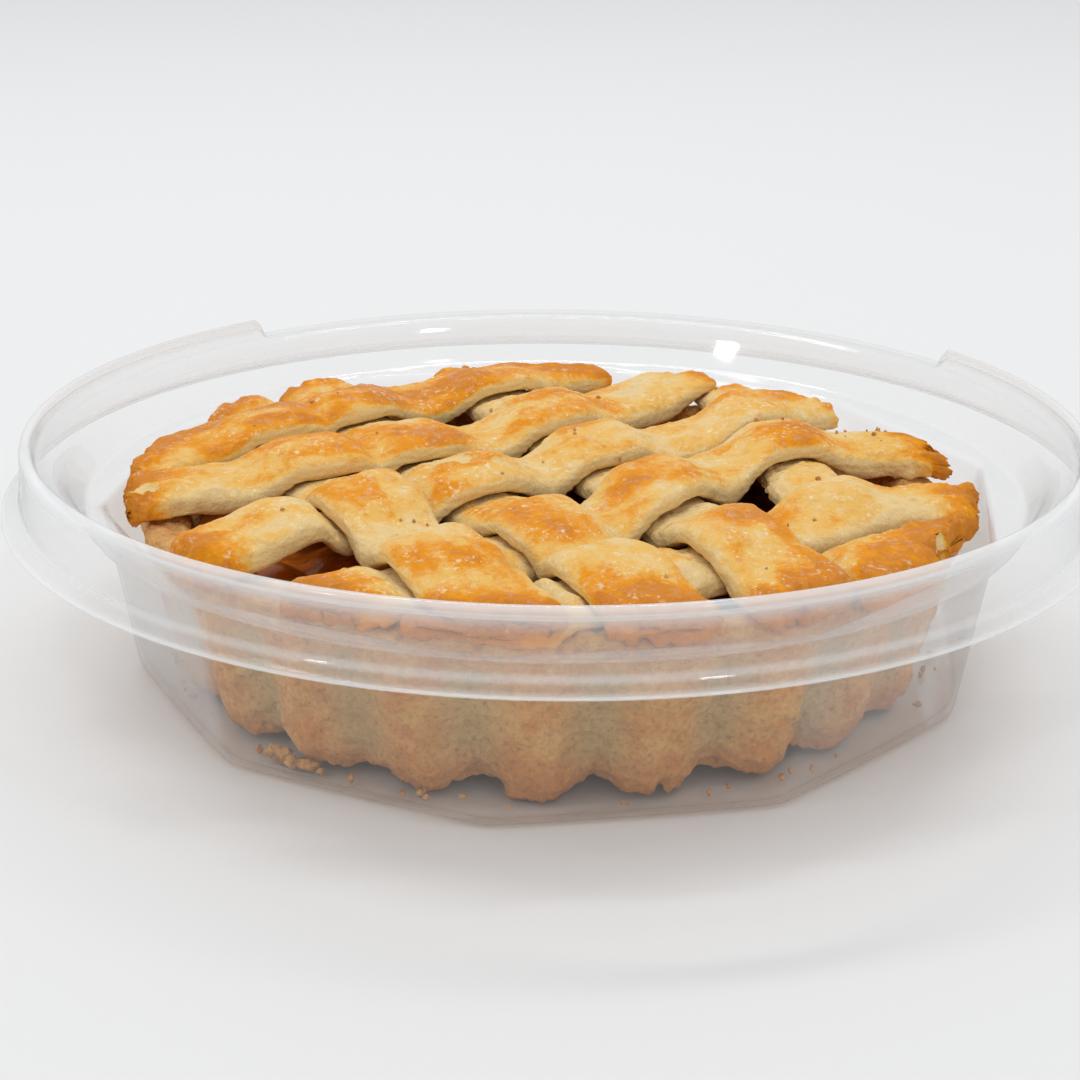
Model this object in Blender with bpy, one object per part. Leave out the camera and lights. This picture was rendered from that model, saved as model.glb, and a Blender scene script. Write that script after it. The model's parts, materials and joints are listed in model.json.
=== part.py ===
"""Apple pie with an open lattice of pastry strips, standing in its clear plastic tub.

Units are metres, +Z is up. The origin is under the middle of the tub, on the surface that it stands on.
The photograph is taken from -Y, so the front of the pie faces -Y.
"""

import math

import bmesh
import bpy
import numpy as np

# Tub: a round rim over a body with ten flat sides
TUB_HEIGHT = 0.0375
TUB_WALL = 0.0008
TUB_SIDES = 10
TUB_FIRST_CORNER = math.radians(10.2)
TUB_STEPS_PER_SIDE = 6
BEAD_RADIUS = 0.0800
BEAD_WIDTH = 0.0024
BEAD_HEIGHT = 0.0029
BEAD_GAP_START = math.radians(32.0)
BEAD_GAP_END = math.radians(133.0)
BEAD_GAP_RAMP = math.radians(1.2)
BAND_INNER_RADIUS = 0.0757
ROLL_RADIUS = 0.0744
ROLL_DROP = 0.0048
SHOULDER_RADIUS = 0.0714
SHOULDER_DROP = 0.0104
BODY_TOP_CORNER_RADIUS = 0.0692
BODY_TOP_DROP = 0.0110
BODY_FOOT_CORNER_RADIUS = 0.0652
FLOOR_FILLET = 0.0018
FILLET_BEND = 0.3
FLOOR_FLAT = 3.0
FOOT_ROUNDNESS = 0.15
BODY_ROUNDNESS = 0.10
INNER_LIP_DROP = 0.0003
BEAD_OUTER_SHOULDER = 0.3
BEAD_INNER_SHOULDER = 0.7
BEAD_SIDE = 0.75
BEAD_FOOT = 0.05
SKIRT_SPREAD = 0.0005
SKIRT_DROP = 0.0088
FLANGE_RADIUS = 0.0832
FLANGE_DROP = 0.0100
SAME_ANGLE = math.radians(0.006)

# Pie: where it stands in the tub, how its top falls toward the back, and the gap that touching pieces keep
PIE_X = -0.0008
PIE_Y = -0.0008
FALL_BACK = 0.018
FALL_RIGHT = 0.006
SHORT_SIDE = math.radians(58.0)
SHORT_SPAN = math.radians(62.0)
SHORT_BY = 0.0034
GAP = 0.0003

# Pastry shell with its pressed flutes
FLUTES = 22
FLUTE_STEPS = 6
FLUTE_PHASE = math.radians(-91.5)
FLUTE_SHARPNESS = 0.8
SHELL_TOP = 0.0255
SHELL_FOOT_RADIUS = 0.0572
SHELL_RIM_RADIUS = 0.0630
FLUTE_DEPTH_FOOT = 0.0052
FLUTE_DEPTH_RIM = 0.0022
FOOT_LIFT = 0.0016
FOOT_TUCK = 0.0010
UNDERSIDE_RADIUS = 0.0340
WALL_LEVELS = (0.0, 0.12, 0.4, 0.7, 0.93)
WALL_FLARE = 0.9
RIM_OUTER_FLAT = 0.0612
RIM_INNER_FLAT = 0.0565
RIM_ROUND = 0.0012
CAVITY_TOP_RADIUS = 0.0555
CAVITY_FOOT_RADIUS = 0.0500
CAVITY_FLOOR = 0.0050

# Apple filling
FILLING_TOP = 0.0207
FILLING_COLUMNS = 36
FILLING_RINGS = 8
FILLING_INNER_SHARE = 0.08
CHUNK_FADE_SHARE = 0.88
CHUNK_COUNT = 46
CHUNK_RADIUS = 0.0052
CHUNK_HEIGHT = 0.0022
CHUNK_SPREAD = 0.95
CHUNK_SIZES = (0.7, 1.3)
CHUNK_HEIGHTS = (0.4, 1.0)
CHUNK_SEED = 7

# Lattice strips
STRIP_THICKNESS = 0.0046
OVER_THICKNESS = 0.0038
PRESSED_THICKNESS = 0.0034
STRIP_LIFT = 0.0001
STRIP_END_RADIUS = 0.0626
STRIP_CAP = 0.0026
CAP_WIDTH = 0.55
TRIM_REACH = 0.0075
TRIM_SAMPLES = 241
CROSSING_SAMPLES = 240
TANGENT_STEP = 0.001
STRIP_SAG = 0.0006
RIM_SQUEEZE = 0.34
SQUEEZE_START = 0.0440
SQUEEZE_END = 0.0590
SAG_START_RADIUS = 0.0570
SAG_END_RADIUS = 0.0440
DRAPE_GAP = 0.0007
CROSSING_START = 0.0014
CROSSING_END = 0.0046
WAVE_START = -0.0030
WAVE_END = 0.0064
HUMP_STRIP = "strip_long_3"
HUMP_PLACE = 0.0150
HUMP_REACH = 0.0075
HUMP_HEIGHT = 0.0030
STRIP_SPACING = 0.0029
STRIP_SIDES = 10
BELLY = -0.3
DOME_POWER = 2.6
SOLE_POWER = 5.0
CAP_STEPS = 2
CAP_FLAT = 0.35

# Strips in the order in which they are laid, each over those before it:
# name, angle of its first and last end round the rim, sideways bow, lean of the bow, width, part of its run
STRIPS = (
    ("strip_cross_4", 61.0, -44.0, 0.0000, 1.0, 0.0105, (0.00, 0.72)),
    ("strip_long_6", -57.0, -28.5, 0.0020, 1.0, 0.0118, (0.33, 1.00)),
    ("strip_long_5", -98.5, -11.0, 0.0052, 3.0, 0.0130, (0.00, 1.00)),
    ("strip_cross_3", 104.0, -57.5, 0.0000, 1.0, 0.0132, (0.00, 1.00)),
    ("strip_long_4", -116.5, 13.0, 0.0148, 2.8, 0.0132, (0.00, 1.00)),
    ("strip_cross_2", 132.0, -76.0, 0.0000, 1.0, 0.0132, (0.00, 1.00)),
    ("strip_long_3", 220.5, 43.0, 0.0000, 1.0, 0.0132, (0.00, 1.00)),
    ("strip_cross_1", 148.0, -95.0, 0.0000, 1.0, 0.0132, (0.00, 1.00)),
    ("strip_long_2", 193.0, 67.5, -0.0080, 1.0, 0.0138, (0.00, 1.00)),
    ("strip_long_1", 177.5, 87.0, 0.0016, 1.0, 0.0140, (0.00, 1.00)),
)

# Finishes: colour, roughness, and the angle past which an edge is shaded sharp
CLEAR_PLASTIC = (0.93, 0.94, 0.94, 0.25)
PLASTIC_ROUGHNESS = 0.08
BAKED_CRUST = (0.56, 0.30, 0.12, 1.0)
CRUST_ROUGHNESS = 0.75
COOKED_APPLE = (0.23, 0.06, 0.02, 1.0)
APPLE_ROUGHNESS = 0.35
GLAZED_STRIP = (0.72, 0.42, 0.12, 1.0)
STRIP_ROUGHNESS = 0.35
CREASE = math.radians(35.0)
STRIP_CREASE = math.radians(60.0)


def clear_scene():
    """Remove every object that the file opened with."""
    for old in list(bpy.data.objects):
        bpy.data.objects.remove(old, do_unlink=True)


def material(name, colour, roughness, metallic=0.0):
    """Make a Principled material with one colour."""
    made = bpy.data.materials.new(name)
    made.use_nodes = True
    shader = made.node_tree.nodes["Principled BSDF"]
    shader.inputs["Base Color"].default_value = colour
    shader.inputs["Roughness"].default_value = roughness
    shader.inputs["Metallic"].default_value = metallic
    shader.inputs["Alpha"].default_value = colour[3]
    return made


def smoothstep(start, end, value):
    """Blend from 0 at start to 1 at end."""
    share = np.clip((value - start) / (end - start), 0.0, 1.0)
    return share * share * (3.0 - 2.0 * share)


def ring_solid(name, rings, finish, crease=CREASE):
    """Join rings of points, each with the same count, into one closed solid.

    The rings run from the bottom middle out, up and over to the top middle, and each is listed
    anticlockwise seen from above. Both ends are closed by a fan on their own mean point.
    """
    mesh = bpy.data.meshes.new(name)
    shape = bmesh.new()
    loops = [[shape.verts.new(point) for point in ring] for ring in rings]
    count = len(loops[0])
    for lower, upper in zip(loops, loops[1:]):
        for index in range(count):
            after = (index + 1) % count
            shape.faces.new((lower[index], lower[after], upper[after], upper[index]))
    first = shape.verts.new(np.mean(rings[0], axis=0))
    last = shape.verts.new(np.mean(rings[-1], axis=0))
    for index in range(count):
        after = (index + 1) % count
        shape.faces.new((first, loops[0][after], loops[0][index]))
        shape.faces.new((last, loops[-1][index], loops[-1][after]))
    bmesh.ops.triangulate(shape, faces=shape.faces[:])
    if shape.calc_volume(signed=True) < 0.0:
        bmesh.ops.reverse_faces(shape, faces=shape.faces[:])
    shape.to_mesh(mesh)
    shape.free()
    mesh.shade_smooth()
    mesh.set_sharp_from_angle(angle=crease)
    mesh.materials.append(finish)
    made = bpy.data.objects.new(name, mesh)
    bpy.context.scene.collection.objects.link(made)
    return made


def tub_angles():
    """Angles round the tub: even steps, with the ends of the bead's gap added."""
    count = TUB_SIDES * TUB_STEPS_PER_SIDE
    even = TUB_FIRST_CORNER + 2.0 * math.pi * np.arange(count) / count
    ends = [BEAD_GAP_START, BEAD_GAP_START + BEAD_GAP_RAMP, BEAD_GAP_END - BEAD_GAP_RAMP, BEAD_GAP_END]
    near = [np.min(np.abs(even - end)) for end in ends]
    kept = [end for end, distance in zip(ends, near) if distance > SAME_ANGLE]
    return np.sort(np.concatenate([even, kept]))


def ten_sided(angles, corner_radius, roundness):
    """Radius of the tub's body: flat sides between corners, blended toward a circle by roundness."""
    side = 2.0 * math.pi / TUB_SIDES
    from_corner = (angles - TUB_FIRST_CORNER) % side
    flat = math.cos(side / 2.0) / np.cos(from_corner - side / 2.0)
    mean = 0.5 * (1.0 + math.cos(side / 2.0))
    return corner_radius * (flat * (1.0 - roundness) + mean * roundness)


def tub_rings():
    """Rings of the tub, from the underside's middle out, up the outside, and back down the inside."""
    angles = tub_angles()
    circle = np.ones_like(angles)
    gap = smoothstep(BEAD_GAP_START, BEAD_GAP_START + BEAD_GAP_RAMP, angles)
    gap = gap * (1.0 - smoothstep(BEAD_GAP_END - BEAD_GAP_RAMP, BEAD_GAP_END, angles))
    rise = BEAD_HEIGHT * (1.0 - gap)
    band = TUB_HEIGHT - BEAD_HEIGHT
    wall = TUB_WALL
    foot = ten_sided(angles, BODY_FOOT_CORNER_RADIUS, FOOT_ROUNDNESS)
    body = ten_sided(angles, BODY_TOP_CORNER_RADIUS, BODY_ROUNDNESS)
    body_z = TUB_HEIGHT - BODY_TOP_DROP
    shoulder_z = TUB_HEIGHT - SHOULDER_DROP
    roll_z = TUB_HEIGHT - ROLL_DROP
    skirt = BEAD_RADIUS + SKIRT_SPREAD
    flange_z = TUB_HEIGHT - FLANGE_DROP
    skirt_z = TUB_HEIGHT - SKIRT_DROP
    fillet = FLOOR_FILLET
    profile = (
        (foot - FLOOR_FLAT * fillet, 0.0),
        (foot - fillet, 0.0),
        (foot - FILLET_BEND * fillet, FILLET_BEND * fillet),
        (foot, fillet),
        (body, body_z),
        (SHOULDER_RADIUS * circle, shoulder_z - wall),
        (ROLL_RADIUS * circle, roll_z - wall),
        ((BAND_INNER_RADIUS + wall) * circle, band - wall),
        ((BEAD_RADIUS - wall) * circle, band - wall),
        ((skirt - wall) * circle, skirt_z - wall),
        (FLANGE_RADIUS * circle, flange_z - wall),
        (FLANGE_RADIUS * circle, flange_z),
        (skirt * circle, skirt_z),
        (BEAD_RADIUS * circle, band - 0.5 * wall),
        (BEAD_RADIUS * circle, band + BEAD_SIDE * rise),
        ((BEAD_RADIUS - BEAD_OUTER_SHOULDER * BEAD_WIDTH) * circle, band + rise),
        ((BEAD_RADIUS - BEAD_INNER_SHOULDER * BEAD_WIDTH) * circle, band + rise),
        ((BEAD_RADIUS - BEAD_WIDTH) * circle, band + BEAD_FOOT * rise),
        (BAND_INNER_RADIUS * circle, band - INNER_LIP_DROP),
        ((ROLL_RADIUS - wall) * circle, roll_z),
        ((SHOULDER_RADIUS - wall) * circle, shoulder_z),
        (body - wall, body_z - 0.5 * wall),
        (foot - wall, fillet + wall),
        (foot - fillet - wall, wall),
        (foot - FLOOR_FLAT * fillet - wall, wall),
    )
    return [ring_points(angles, radius, height) for radius, height in profile]


def ring_points(angles, radius, height):
    """Points of one ring from its angles, radii and heights."""
    z = np.broadcast_to(height, angles.shape)
    return np.stack([radius * np.cos(angles), radius * np.sin(angles), z], axis=1)


def fall(x, y):
    """How much lower the pie's top is at a plan point than at its middle."""
    return FALL_BACK * y + FALL_RIGHT * x


def short(angles):
    """How much shorter the pie's rim is in each direction: the back right side was pressed in."""
    away = np.abs((angles - SHORT_SIDE + math.pi) % (2.0 * math.pi) - math.pi)
    return SHORT_BY * (1.0 - smoothstep(0.0, SHORT_SPAN, away))


def pie_ring(angles, radius, height, share=0.0):
    """Ring of the pie: share says how far the pressed side and the falling top reach it, 0 to 1."""
    ring = ring_points(angles, radius - share * short(angles), height)
    ring[:, 2] -= share * fall(ring[:, 0], ring[:, 1])
    return ring + np.array([PIE_X, PIE_Y, 0.0])


def build_tub():
    """The clear tub: ten-sided body, shoulder, rim with its raised bead, skirt and flange."""
    return ring_solid("tub", tub_rings(), material("clear_plastic", CLEAR_PLASTIC, PLASTIC_ROUGHNESS))


def flute(angles):
    """1 on the crest of each flute and 0 in the sharp valley between two."""
    return np.abs(np.cos(0.5 * FLUTES * (angles - FLUTE_PHASE))) ** FLUTE_SHARPNESS


def shell_rings():
    """Rings of the pastry shell: fluted outside, flat rim, plain cavity."""
    count = FLUTES * FLUTE_STEPS
    angles = FLUTE_PHASE + 2.0 * math.pi * np.arange(count) / count
    crest = flute(angles)
    base = TUB_WALL + GAP
    underside = base + FOOT_LIFT * (1.0 - crest)
    rings = [pie_ring(angles, UNDERSIDE_RADIUS, base + FOOT_LIFT)]
    for share in WALL_LEVELS:
        radius = SHELL_FOOT_RADIUS + (SHELL_RIM_RADIUS - SHELL_FOOT_RADIUS) * share ** WALL_FLARE
        depth = FLUTE_DEPTH_FOOT + (FLUTE_DEPTH_RIM - FLUTE_DEPTH_FOOT) * share
        tuck = FOOT_TUCK * (share == 0.0)
        height = underside + (SHELL_TOP - underside) * share
        rings.append(pie_ring(angles, radius - tuck - depth * (1.0 - crest), height, share))
    rings.append(pie_ring(angles, RIM_OUTER_FLAT, SHELL_TOP, 1.0))
    rings.append(pie_ring(angles, RIM_INNER_FLAT, SHELL_TOP, 1.0))
    rings.append(pie_ring(angles, CAVITY_TOP_RADIUS, SHELL_TOP - RIM_ROUND, 1.0))
    rings.append(pie_ring(angles, CAVITY_FOOT_RADIUS, CAVITY_FLOOR))
    return rings


def build_shell():
    """The pastry shell that holds the filling."""
    return ring_solid("pastry_shell", shell_rings(), material("baked_crust", BAKED_CRUST, CRUST_ROUGHNESS))


def chunk_relief(x, y):
    """Height that the apple chunks add at a place on the filling's top."""
    draw = np.random.default_rng(CHUNK_SEED)
    radius = CHUNK_SPREAD * CAVITY_TOP_RADIUS * np.sqrt(draw.random(CHUNK_COUNT))
    turn = 2.0 * math.pi * draw.random(CHUNK_COUNT)
    size = CHUNK_RADIUS * draw.uniform(*CHUNK_SIZES, CHUNK_COUNT)
    tall = CHUNK_HEIGHT * draw.uniform(*CHUNK_HEIGHTS, CHUNK_COUNT)
    away = np.hypot(x[..., None] - radius * np.cos(turn), y[..., None] - radius * np.sin(turn))
    return np.max(tall * np.exp(-(away / size) ** 4), axis=-1)


def filling_rings():
    """Rings of the filling: a plain plug below, lumps of apple on top."""
    angles = 2.0 * math.pi * np.arange(FILLING_COLUMNS) / FILLING_COLUMNS
    slope = (CAVITY_TOP_RADIUS - CAVITY_FOOT_RADIUS) / (SHELL_TOP - RIM_ROUND - CAVITY_FLOOR)
    inset = 2.0 * GAP
    rings = [pie_ring(angles, CAVITY_FOOT_RADIUS - inset, CAVITY_FLOOR + GAP)]
    edge = CAVITY_FOOT_RADIUS + slope * (FILLING_TOP - CAVITY_FLOOR) - inset
    for share in np.linspace(1.0, FILLING_INNER_SHARE, FILLING_RINGS):
        radius = edge * share
        lump = chunk_relief(radius * np.cos(angles), radius * np.sin(angles))
        lump = lump * smoothstep(1.0, CHUNK_FADE_SHARE, share)
        rings.append(pie_ring(angles, radius, FILLING_TOP + lump, share))
    return rings


def build_filling():
    """The cooked apple that shows through the lattice."""
    finish = material("cooked_apple", COOKED_APPLE, APPLE_ROUGHNESS)
    return ring_solid("apple_filling", filling_rings(), finish)


class Strip:
    """One pastry strip: a curved run in plan, over the strips laid before it that it crosses."""

    def __init__(self, name, start, end, bow, lean, width, run):
        self.name = name
        self.family = name.split("_")[1]
        self.start = rim_point(start)
        self.end = rim_point(end)
        self.bow = bow
        self.lean = lean
        self.width = width
        self.run = run
        self.length = np.linalg.norm(self.end - self.start)
        self.trim = TRIM_REACH / self.length
        steps = math.ceil(self.length * (run[1] - run[0]) / STRIP_SPACING)
        self.steps = np.linspace(0.0, 1.0, steps + 1)
        self.over = []
        self.under = []

    def place(self, shares):
        """Plan position of the run at each share of its chord."""
        chord = self.end - self.start
        side = np.array([-chord[1], chord[0]]) / np.linalg.norm(chord)
        bow = np.sin(math.pi * np.clip(shares, 0.0, 1.0) ** self.lean)
        bow = bow - math.pi * self.lean * np.maximum(shares - 1.0, 0.0)
        bow = bow + math.pi * (self.lean == 1.0) * np.minimum(shares, 0.0)
        return self.start + np.outer(shares, chord) + np.outer(self.bow * bow, side)

    def across(self, shares):
        """Unit vector square to the run, pointing to its left."""
        along = self.place(shares + TANGENT_STEP) - self.place(shares - TANGENT_STEP)
        along = along / np.linalg.norm(along, axis=1)[:, None]
        return np.stack([-along[:, 1], along[:, 0]], axis=1)

    def reach(self):
        """First and last share that the strip can reach: past the rim's circle, or its own cut end."""
        first = -self.trim if self.run[0] == 0.0 else self.run[0]
        last = 1.0 + self.trim if self.run[1] == 1.0 else self.run[1]
        return first, last

    def ends(self, offsets):
        """Shares at which the lines at these offsets across the strip meet the circle that trims it.

        A line that lies outside the circle is as short as a line can be.
        """
        first, last = self.reach()
        shares = np.linspace(first, last, TRIM_SAMPLES)
        lines = self.place(shares)[:, None, :] + offsets[None, :, None] * self.across(shares)[:, None, :]
        turn = np.arctan2(lines[:, :, 1], lines[:, :, 0])
        inside = np.linalg.norm(lines, axis=2) <= STRIP_END_RADIUS - short(turn)
        crosses = np.any(inside, axis=0)
        starts = np.where(crosses, shares[np.argmax(inside, axis=0)], 1.0)
        stops = np.where(crosses, shares[TRIM_SAMPLES - 1 - np.argmax(inside[::-1], axis=0)], 0.0)
        starts = np.minimum(starts, self.trim) if self.run[0] == 0.0 else np.full_like(starts, first)
        stops = np.maximum(stops, 1.0 - self.trim) if self.run[1] == 1.0 else np.full_like(stops, last)
        return starts, stops

    def line_points(self, step, offsets, beyond=0.0):
        """Plan points at one step of the run on the lines at these offsets, some way beyond if asked."""
        starts, stops = self.ends(offsets)
        shares = starts + (stops - starts) * step
        side = self.across(shares)
        along = np.stack([side[:, 1], -side[:, 0]], axis=1)
        return self.place(shares) + offsets[:, None] * side + beyond * along

    def beside(self, points):
        """Distance of each plan point beyond the strip's edge, negative on the strip."""
        run = self.place(np.linspace(*self.reach(), CROSSING_SAMPLES))
        away = np.linalg.norm(points[:, None, :] - run[None, :, :], axis=2)
        return np.min(away, axis=1) - 0.5 * self.width

    def crossing(self, points, others, start=CROSSING_START, end=CROSSING_END):
        """1 where a plan point is on one of the other strips, falling to 0 from start to end beside it."""
        share = np.zeros(len(points))
        for other in others:
            share = np.maximum(share, 1.0 - smoothstep(start, end, other.beside(points)))
        return share

    def hump(self, points):
        """How far one strip arches up off the rim: a bell curve along its chord."""
        chord = (self.end - self.start) / self.length
        away = (points - self.start) @ chord - HUMP_PLACE
        return (self.name == HUMP_STRIP) * HUMP_HEIGHT * np.exp(-(away / HUMP_REACH) ** 2)

    def levels(self, points):
        """Height of the strip's underside and its thickness at each plan point.

        The underside steps over the strips below close to their sides, and the top rises in a longer wave.
        """
        over = self.crossing(points, self.over)
        wave = self.crossing(points, self.over, WAVE_START, WAVE_END)
        under = self.crossing(points, self.under)
        squeeze = 1.0 - RIM_SQUEEZE * smoothstep(SQUEEZE_START, SQUEEZE_END, np.linalg.norm(points, axis=1))
        pressed = squeeze * PRESSED_THICKNESS
        step = pressed + DRAPE_GAP
        top = STRIP_THICKNESS + wave * (step + squeeze * OVER_THICKNESS - STRIP_THICKNESS)
        thickness = top - over * step
        thickness = thickness - under * (thickness - pressed)
        return resting_height(points) + over * step + (1.0 - under) * self.hump(points), thickness


def rim_point(degrees):
    """Plan point on the circle where the strips' full width ends."""
    angle = math.radians(degrees)
    return STRIP_END_RADIUS * np.array([math.cos(angle), math.sin(angle)])


def resting_height(points):
    """Underside of a strip that lies on the shell's rim and sags a little inside it."""
    radius = np.linalg.norm(points, axis=1)
    sag = STRIP_SAG * smoothstep(SAG_START_RADIUS, SAG_END_RADIUS, radius)
    return SHELL_TOP + GAP + STRIP_LIFT - sag - fall(points[:, 0], points[:, 1])


def section_outline():
    """Section of a strip, -1 to 1 both ways: a dome above its belly and a flatter sole below."""
    turn = 2.0 * math.pi * (np.arange(STRIP_SIDES) + 0.5) / STRIP_SIDES
    upper = np.sin(turn) > 0.0
    power = 2.0 / np.where(upper, DOME_POWER, SOLE_POWER)
    across = np.sign(np.cos(turn)) * np.abs(np.cos(turn)) ** power
    rise = np.abs(np.sin(turn)) ** power
    return across / np.max(across), BELLY + np.where(upper, (1.0 - BELLY) * rise, -(1.0 + BELLY) * rise)


def strip_section(strip, step, shrink=1.0, beyond=0.0):
    """Points round one cross-section of the strip; shrink makes it smaller."""
    across, rise = section_outline()
    offsets = -0.5 * strip.width * (CAP_WIDTH + (1.0 - CAP_WIDTH) * shrink) * across
    points = strip.line_points(step, offsets, beyond)
    underside, thickness = strip.levels(points)
    height = underside + 0.5 * thickness * (1.0 + shrink * rise)
    return np.column_stack([points, height]) + np.array([PIE_X, PIE_Y, 0.0])


def strip_rings(strip):
    """Cross-sections along the strip, with a rounded cap beyond each end."""
    rings = [strip_section(strip, step) for step in strip.steps]
    for reach in np.sin(0.5 * math.pi * np.arange(1, CAP_STEPS + 1) / (CAP_STEPS + CAP_FLAT)):
        shrink = math.sqrt(1.0 - reach * reach)
        rings.insert(0, strip_section(strip, 0.0, shrink, -STRIP_CAP * reach))
        rings.append(strip_section(strip, 1.0, shrink, STRIP_CAP * reach))
    return rings


def build_lattice():
    """Lay the strips one by one and make each a solid of its own."""
    glazed = material("glazed_pastry", GLAZED_STRIP, STRIP_ROUGHNESS)
    laid = []
    for row in STRIPS:
        strip = Strip(*row)
        strip.over = [other for other in laid if other.family != strip.family]
        for other in strip.over:
            other.under.append(strip)
        laid.append(strip)
    for strip in laid:
        ring_solid(strip.name, strip_rings(strip), glazed, STRIP_CREASE)


def main():
    clear_scene()
    build_tub()
    build_shell()
    build_filling()
    build_lattice()


main()
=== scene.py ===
"""Looks of a small lattice apple pie that stands in its clear plastic tub.

Units are metres, +Z is up. The origin is under the middle of the tub, and the front of the pie faces -Y.
Each piece is a surface worked out with numpy: a grid of points from two parameters, or a section carried
along a run, roughened along its own normals.
"""

import json
import math

import bpy
import numpy as np
from bpy.props import FloatProperty, FloatVectorProperty, IntProperty, PointerProperty
from mathutils import Matrix, Vector

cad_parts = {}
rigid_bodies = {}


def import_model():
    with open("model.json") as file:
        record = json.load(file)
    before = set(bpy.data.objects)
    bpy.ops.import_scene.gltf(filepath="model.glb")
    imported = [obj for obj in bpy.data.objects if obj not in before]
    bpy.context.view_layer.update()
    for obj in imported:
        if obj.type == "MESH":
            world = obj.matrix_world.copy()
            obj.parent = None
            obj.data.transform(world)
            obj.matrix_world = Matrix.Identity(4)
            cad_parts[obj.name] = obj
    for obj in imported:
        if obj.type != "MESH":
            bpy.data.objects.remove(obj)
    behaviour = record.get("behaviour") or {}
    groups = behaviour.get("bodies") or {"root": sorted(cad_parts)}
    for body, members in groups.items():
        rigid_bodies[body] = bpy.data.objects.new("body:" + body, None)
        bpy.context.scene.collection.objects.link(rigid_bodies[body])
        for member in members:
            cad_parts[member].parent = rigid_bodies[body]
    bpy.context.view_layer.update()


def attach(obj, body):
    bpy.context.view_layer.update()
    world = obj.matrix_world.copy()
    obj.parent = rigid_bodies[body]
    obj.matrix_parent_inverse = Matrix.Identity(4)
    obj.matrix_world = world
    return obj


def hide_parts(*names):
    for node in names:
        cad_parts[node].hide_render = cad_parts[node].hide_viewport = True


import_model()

bl_info = {
    "name": "Lattice Apple Pie",
    "version": (1, 0, 0),
    "blender": (4, 5, 0),
    "location": "3D View > Sidebar > Pie",
    "description": "Makes the pastry, filling, crumbs and clear tub of a small lattice pie",
    "category": "Object",
}

BODY = "root"

# Tub: a round rim over a body with ten flat sides
TUB_HEIGHT = 0.0375
TUB_SIDES = 10
TUB_FIRST_CORNER = math.radians(10.2)
TUB_COLUMNS = 600
CORNER_SOFTENING = math.radians(1.5)
BEAD_RADIUS = 0.0800
BEAD_WIDTH = 0.0024
BEAD_HEIGHT = 0.0029
BEAD_GAP_START = math.radians(32.0)
BEAD_GAP_END = math.radians(133.0)
BEAD_GAP_RAMP = math.radians(1.2)
BAND_INNER_RADIUS = 0.0757
ROLL_RADIUS = 0.0744
ROLL_DROP = 0.0048
SHOULDER_RADIUS = 0.0714
SHOULDER_DROP = 0.0104
BODY_TOP_CORNER_RADIUS = 0.0692
BODY_TOP_DROP = 0.0110
BODY_FOOT_CORNER_RADIUS = 0.0652
FLOOR_FILLET = 0.0018
FOOT_ROUNDNESS = 0.15
BODY_ROUNDNESS = 0.10
SKIRT_SPREAD = 0.0005
SKIRT_DROP = 0.0088
FLANGE_RADIUS = 0.0832
FLANGE_DROP = 0.0100
TUB_ROUNDING = 0.0009
TUB_ROUNDING_STEPS = 4
TUB_FLOOR = 0.0008
HEAD_ON_SHINE = 0.04
SEE_THROUGH_FACES = 32
HAZE_POWER = 3.0
SHINE_POWER = 5.0

# Formed edges where the plastic is milky: radius and height, how far the milkiness reaches, how strong it is
MILKY_EDGES = (
    (BEAD_RADIUS - 0.2 * BEAD_WIDTH, TUB_HEIGHT - 0.0004, 0.0014, 1.0),
    (BEAD_RADIUS + SKIRT_SPREAD, TUB_HEIGHT - SKIRT_DROP, 0.0006, 0.6),
    (FLANGE_RADIUS, TUB_HEIGHT - FLANGE_DROP, 0.0007, 0.85),
    (ROLL_RADIUS, TUB_HEIGHT - ROLL_DROP, 0.0005, 0.25),
    (SHOULDER_RADIUS, TUB_HEIGHT - SHOULDER_DROP, 0.0005, 0.20),
)

# Pie: where it stands, how its top falls toward the back, and the gap that its pieces keep
PIE_PLACE = np.array([-0.0008, -0.0008, 0.0])
FALL_BACK = 0.018
FALL_RIGHT = 0.006
SHORT_SIDE = math.radians(58.0)
SHORT_SPAN = math.radians(62.0)
SHORT_BY = 0.0034
GAP = 0.0003

# Pastry case with its pressed flutes
FLUTES = 22
FLUTE_COLUMNS = 40
FLUTE_PHASE = math.radians(-91.5)
FLUTE_SHARPNESS = 0.8
SHELL_TOP = 0.0255
SHELL_FOOT_RADIUS = 0.0572
SHELL_RIM_RADIUS = 0.0630
FLUTE_DEPTH_FOOT = 0.0052
FLUTE_DEPTH_RIM = 0.0022
FOOT_LIFT = 0.0016
FOOT_TUCK = 0.0010
FOOT_RAGGED = 0.0010
FOOT_UNEVEN = 0.5
FOOT_UNEVEN_SIZE = 0.013
FOOT_RAGGED_SIZE = 0.0022
FOOT_ARCH = (0.10, 0.55)
TUCK_END = 0.12
UNDERSIDE_SHARES = (0.25, 0.97, 12)
VALLEY_DEPTH = 0.64
VALLEY_SOFTNESS = 0.60
UNDERSIDE_RADIUS = 0.0340
WALL_FLARE = 0.9
WALL_ROWS = 64
WALL_END = 0.95
RIM_OUTER_FLAT = 0.0612
RIM_INNER_FLAT = 0.0565
RIM_ROUND = 0.0012
CAVITY_TOP_RADIUS = 0.0555
CAVITY_FOOT_RADIUS = 0.0500
CAVITY_FLOOR = 0.0050
CASE_LUMP = 0.0034
CASE_LUMP_SHARE = 0.9
CASE_CRUMB = 0.0011
CASE_CRUMB_SHARE = 0.5
CASE_PIT_SPACING = 0.0026
CASE_PIT_RADIUS = 0.0011
CASE_PIT_SHARE = 1.2
# Painted shade: heights over which the case's colour darkens toward its foot, where it meets the floor, with
# a wandering edge
FOOT_SHADE = (0.001, 0.009)
FOOT_SHADE_WANDER = 0.003
FOOT_SHADE_SIZE = 0.006
# Painted shade in the flute valleys fades out between these heights, below the rim
VALLEY_SHADE_END = (0.019, 0.023)

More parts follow.
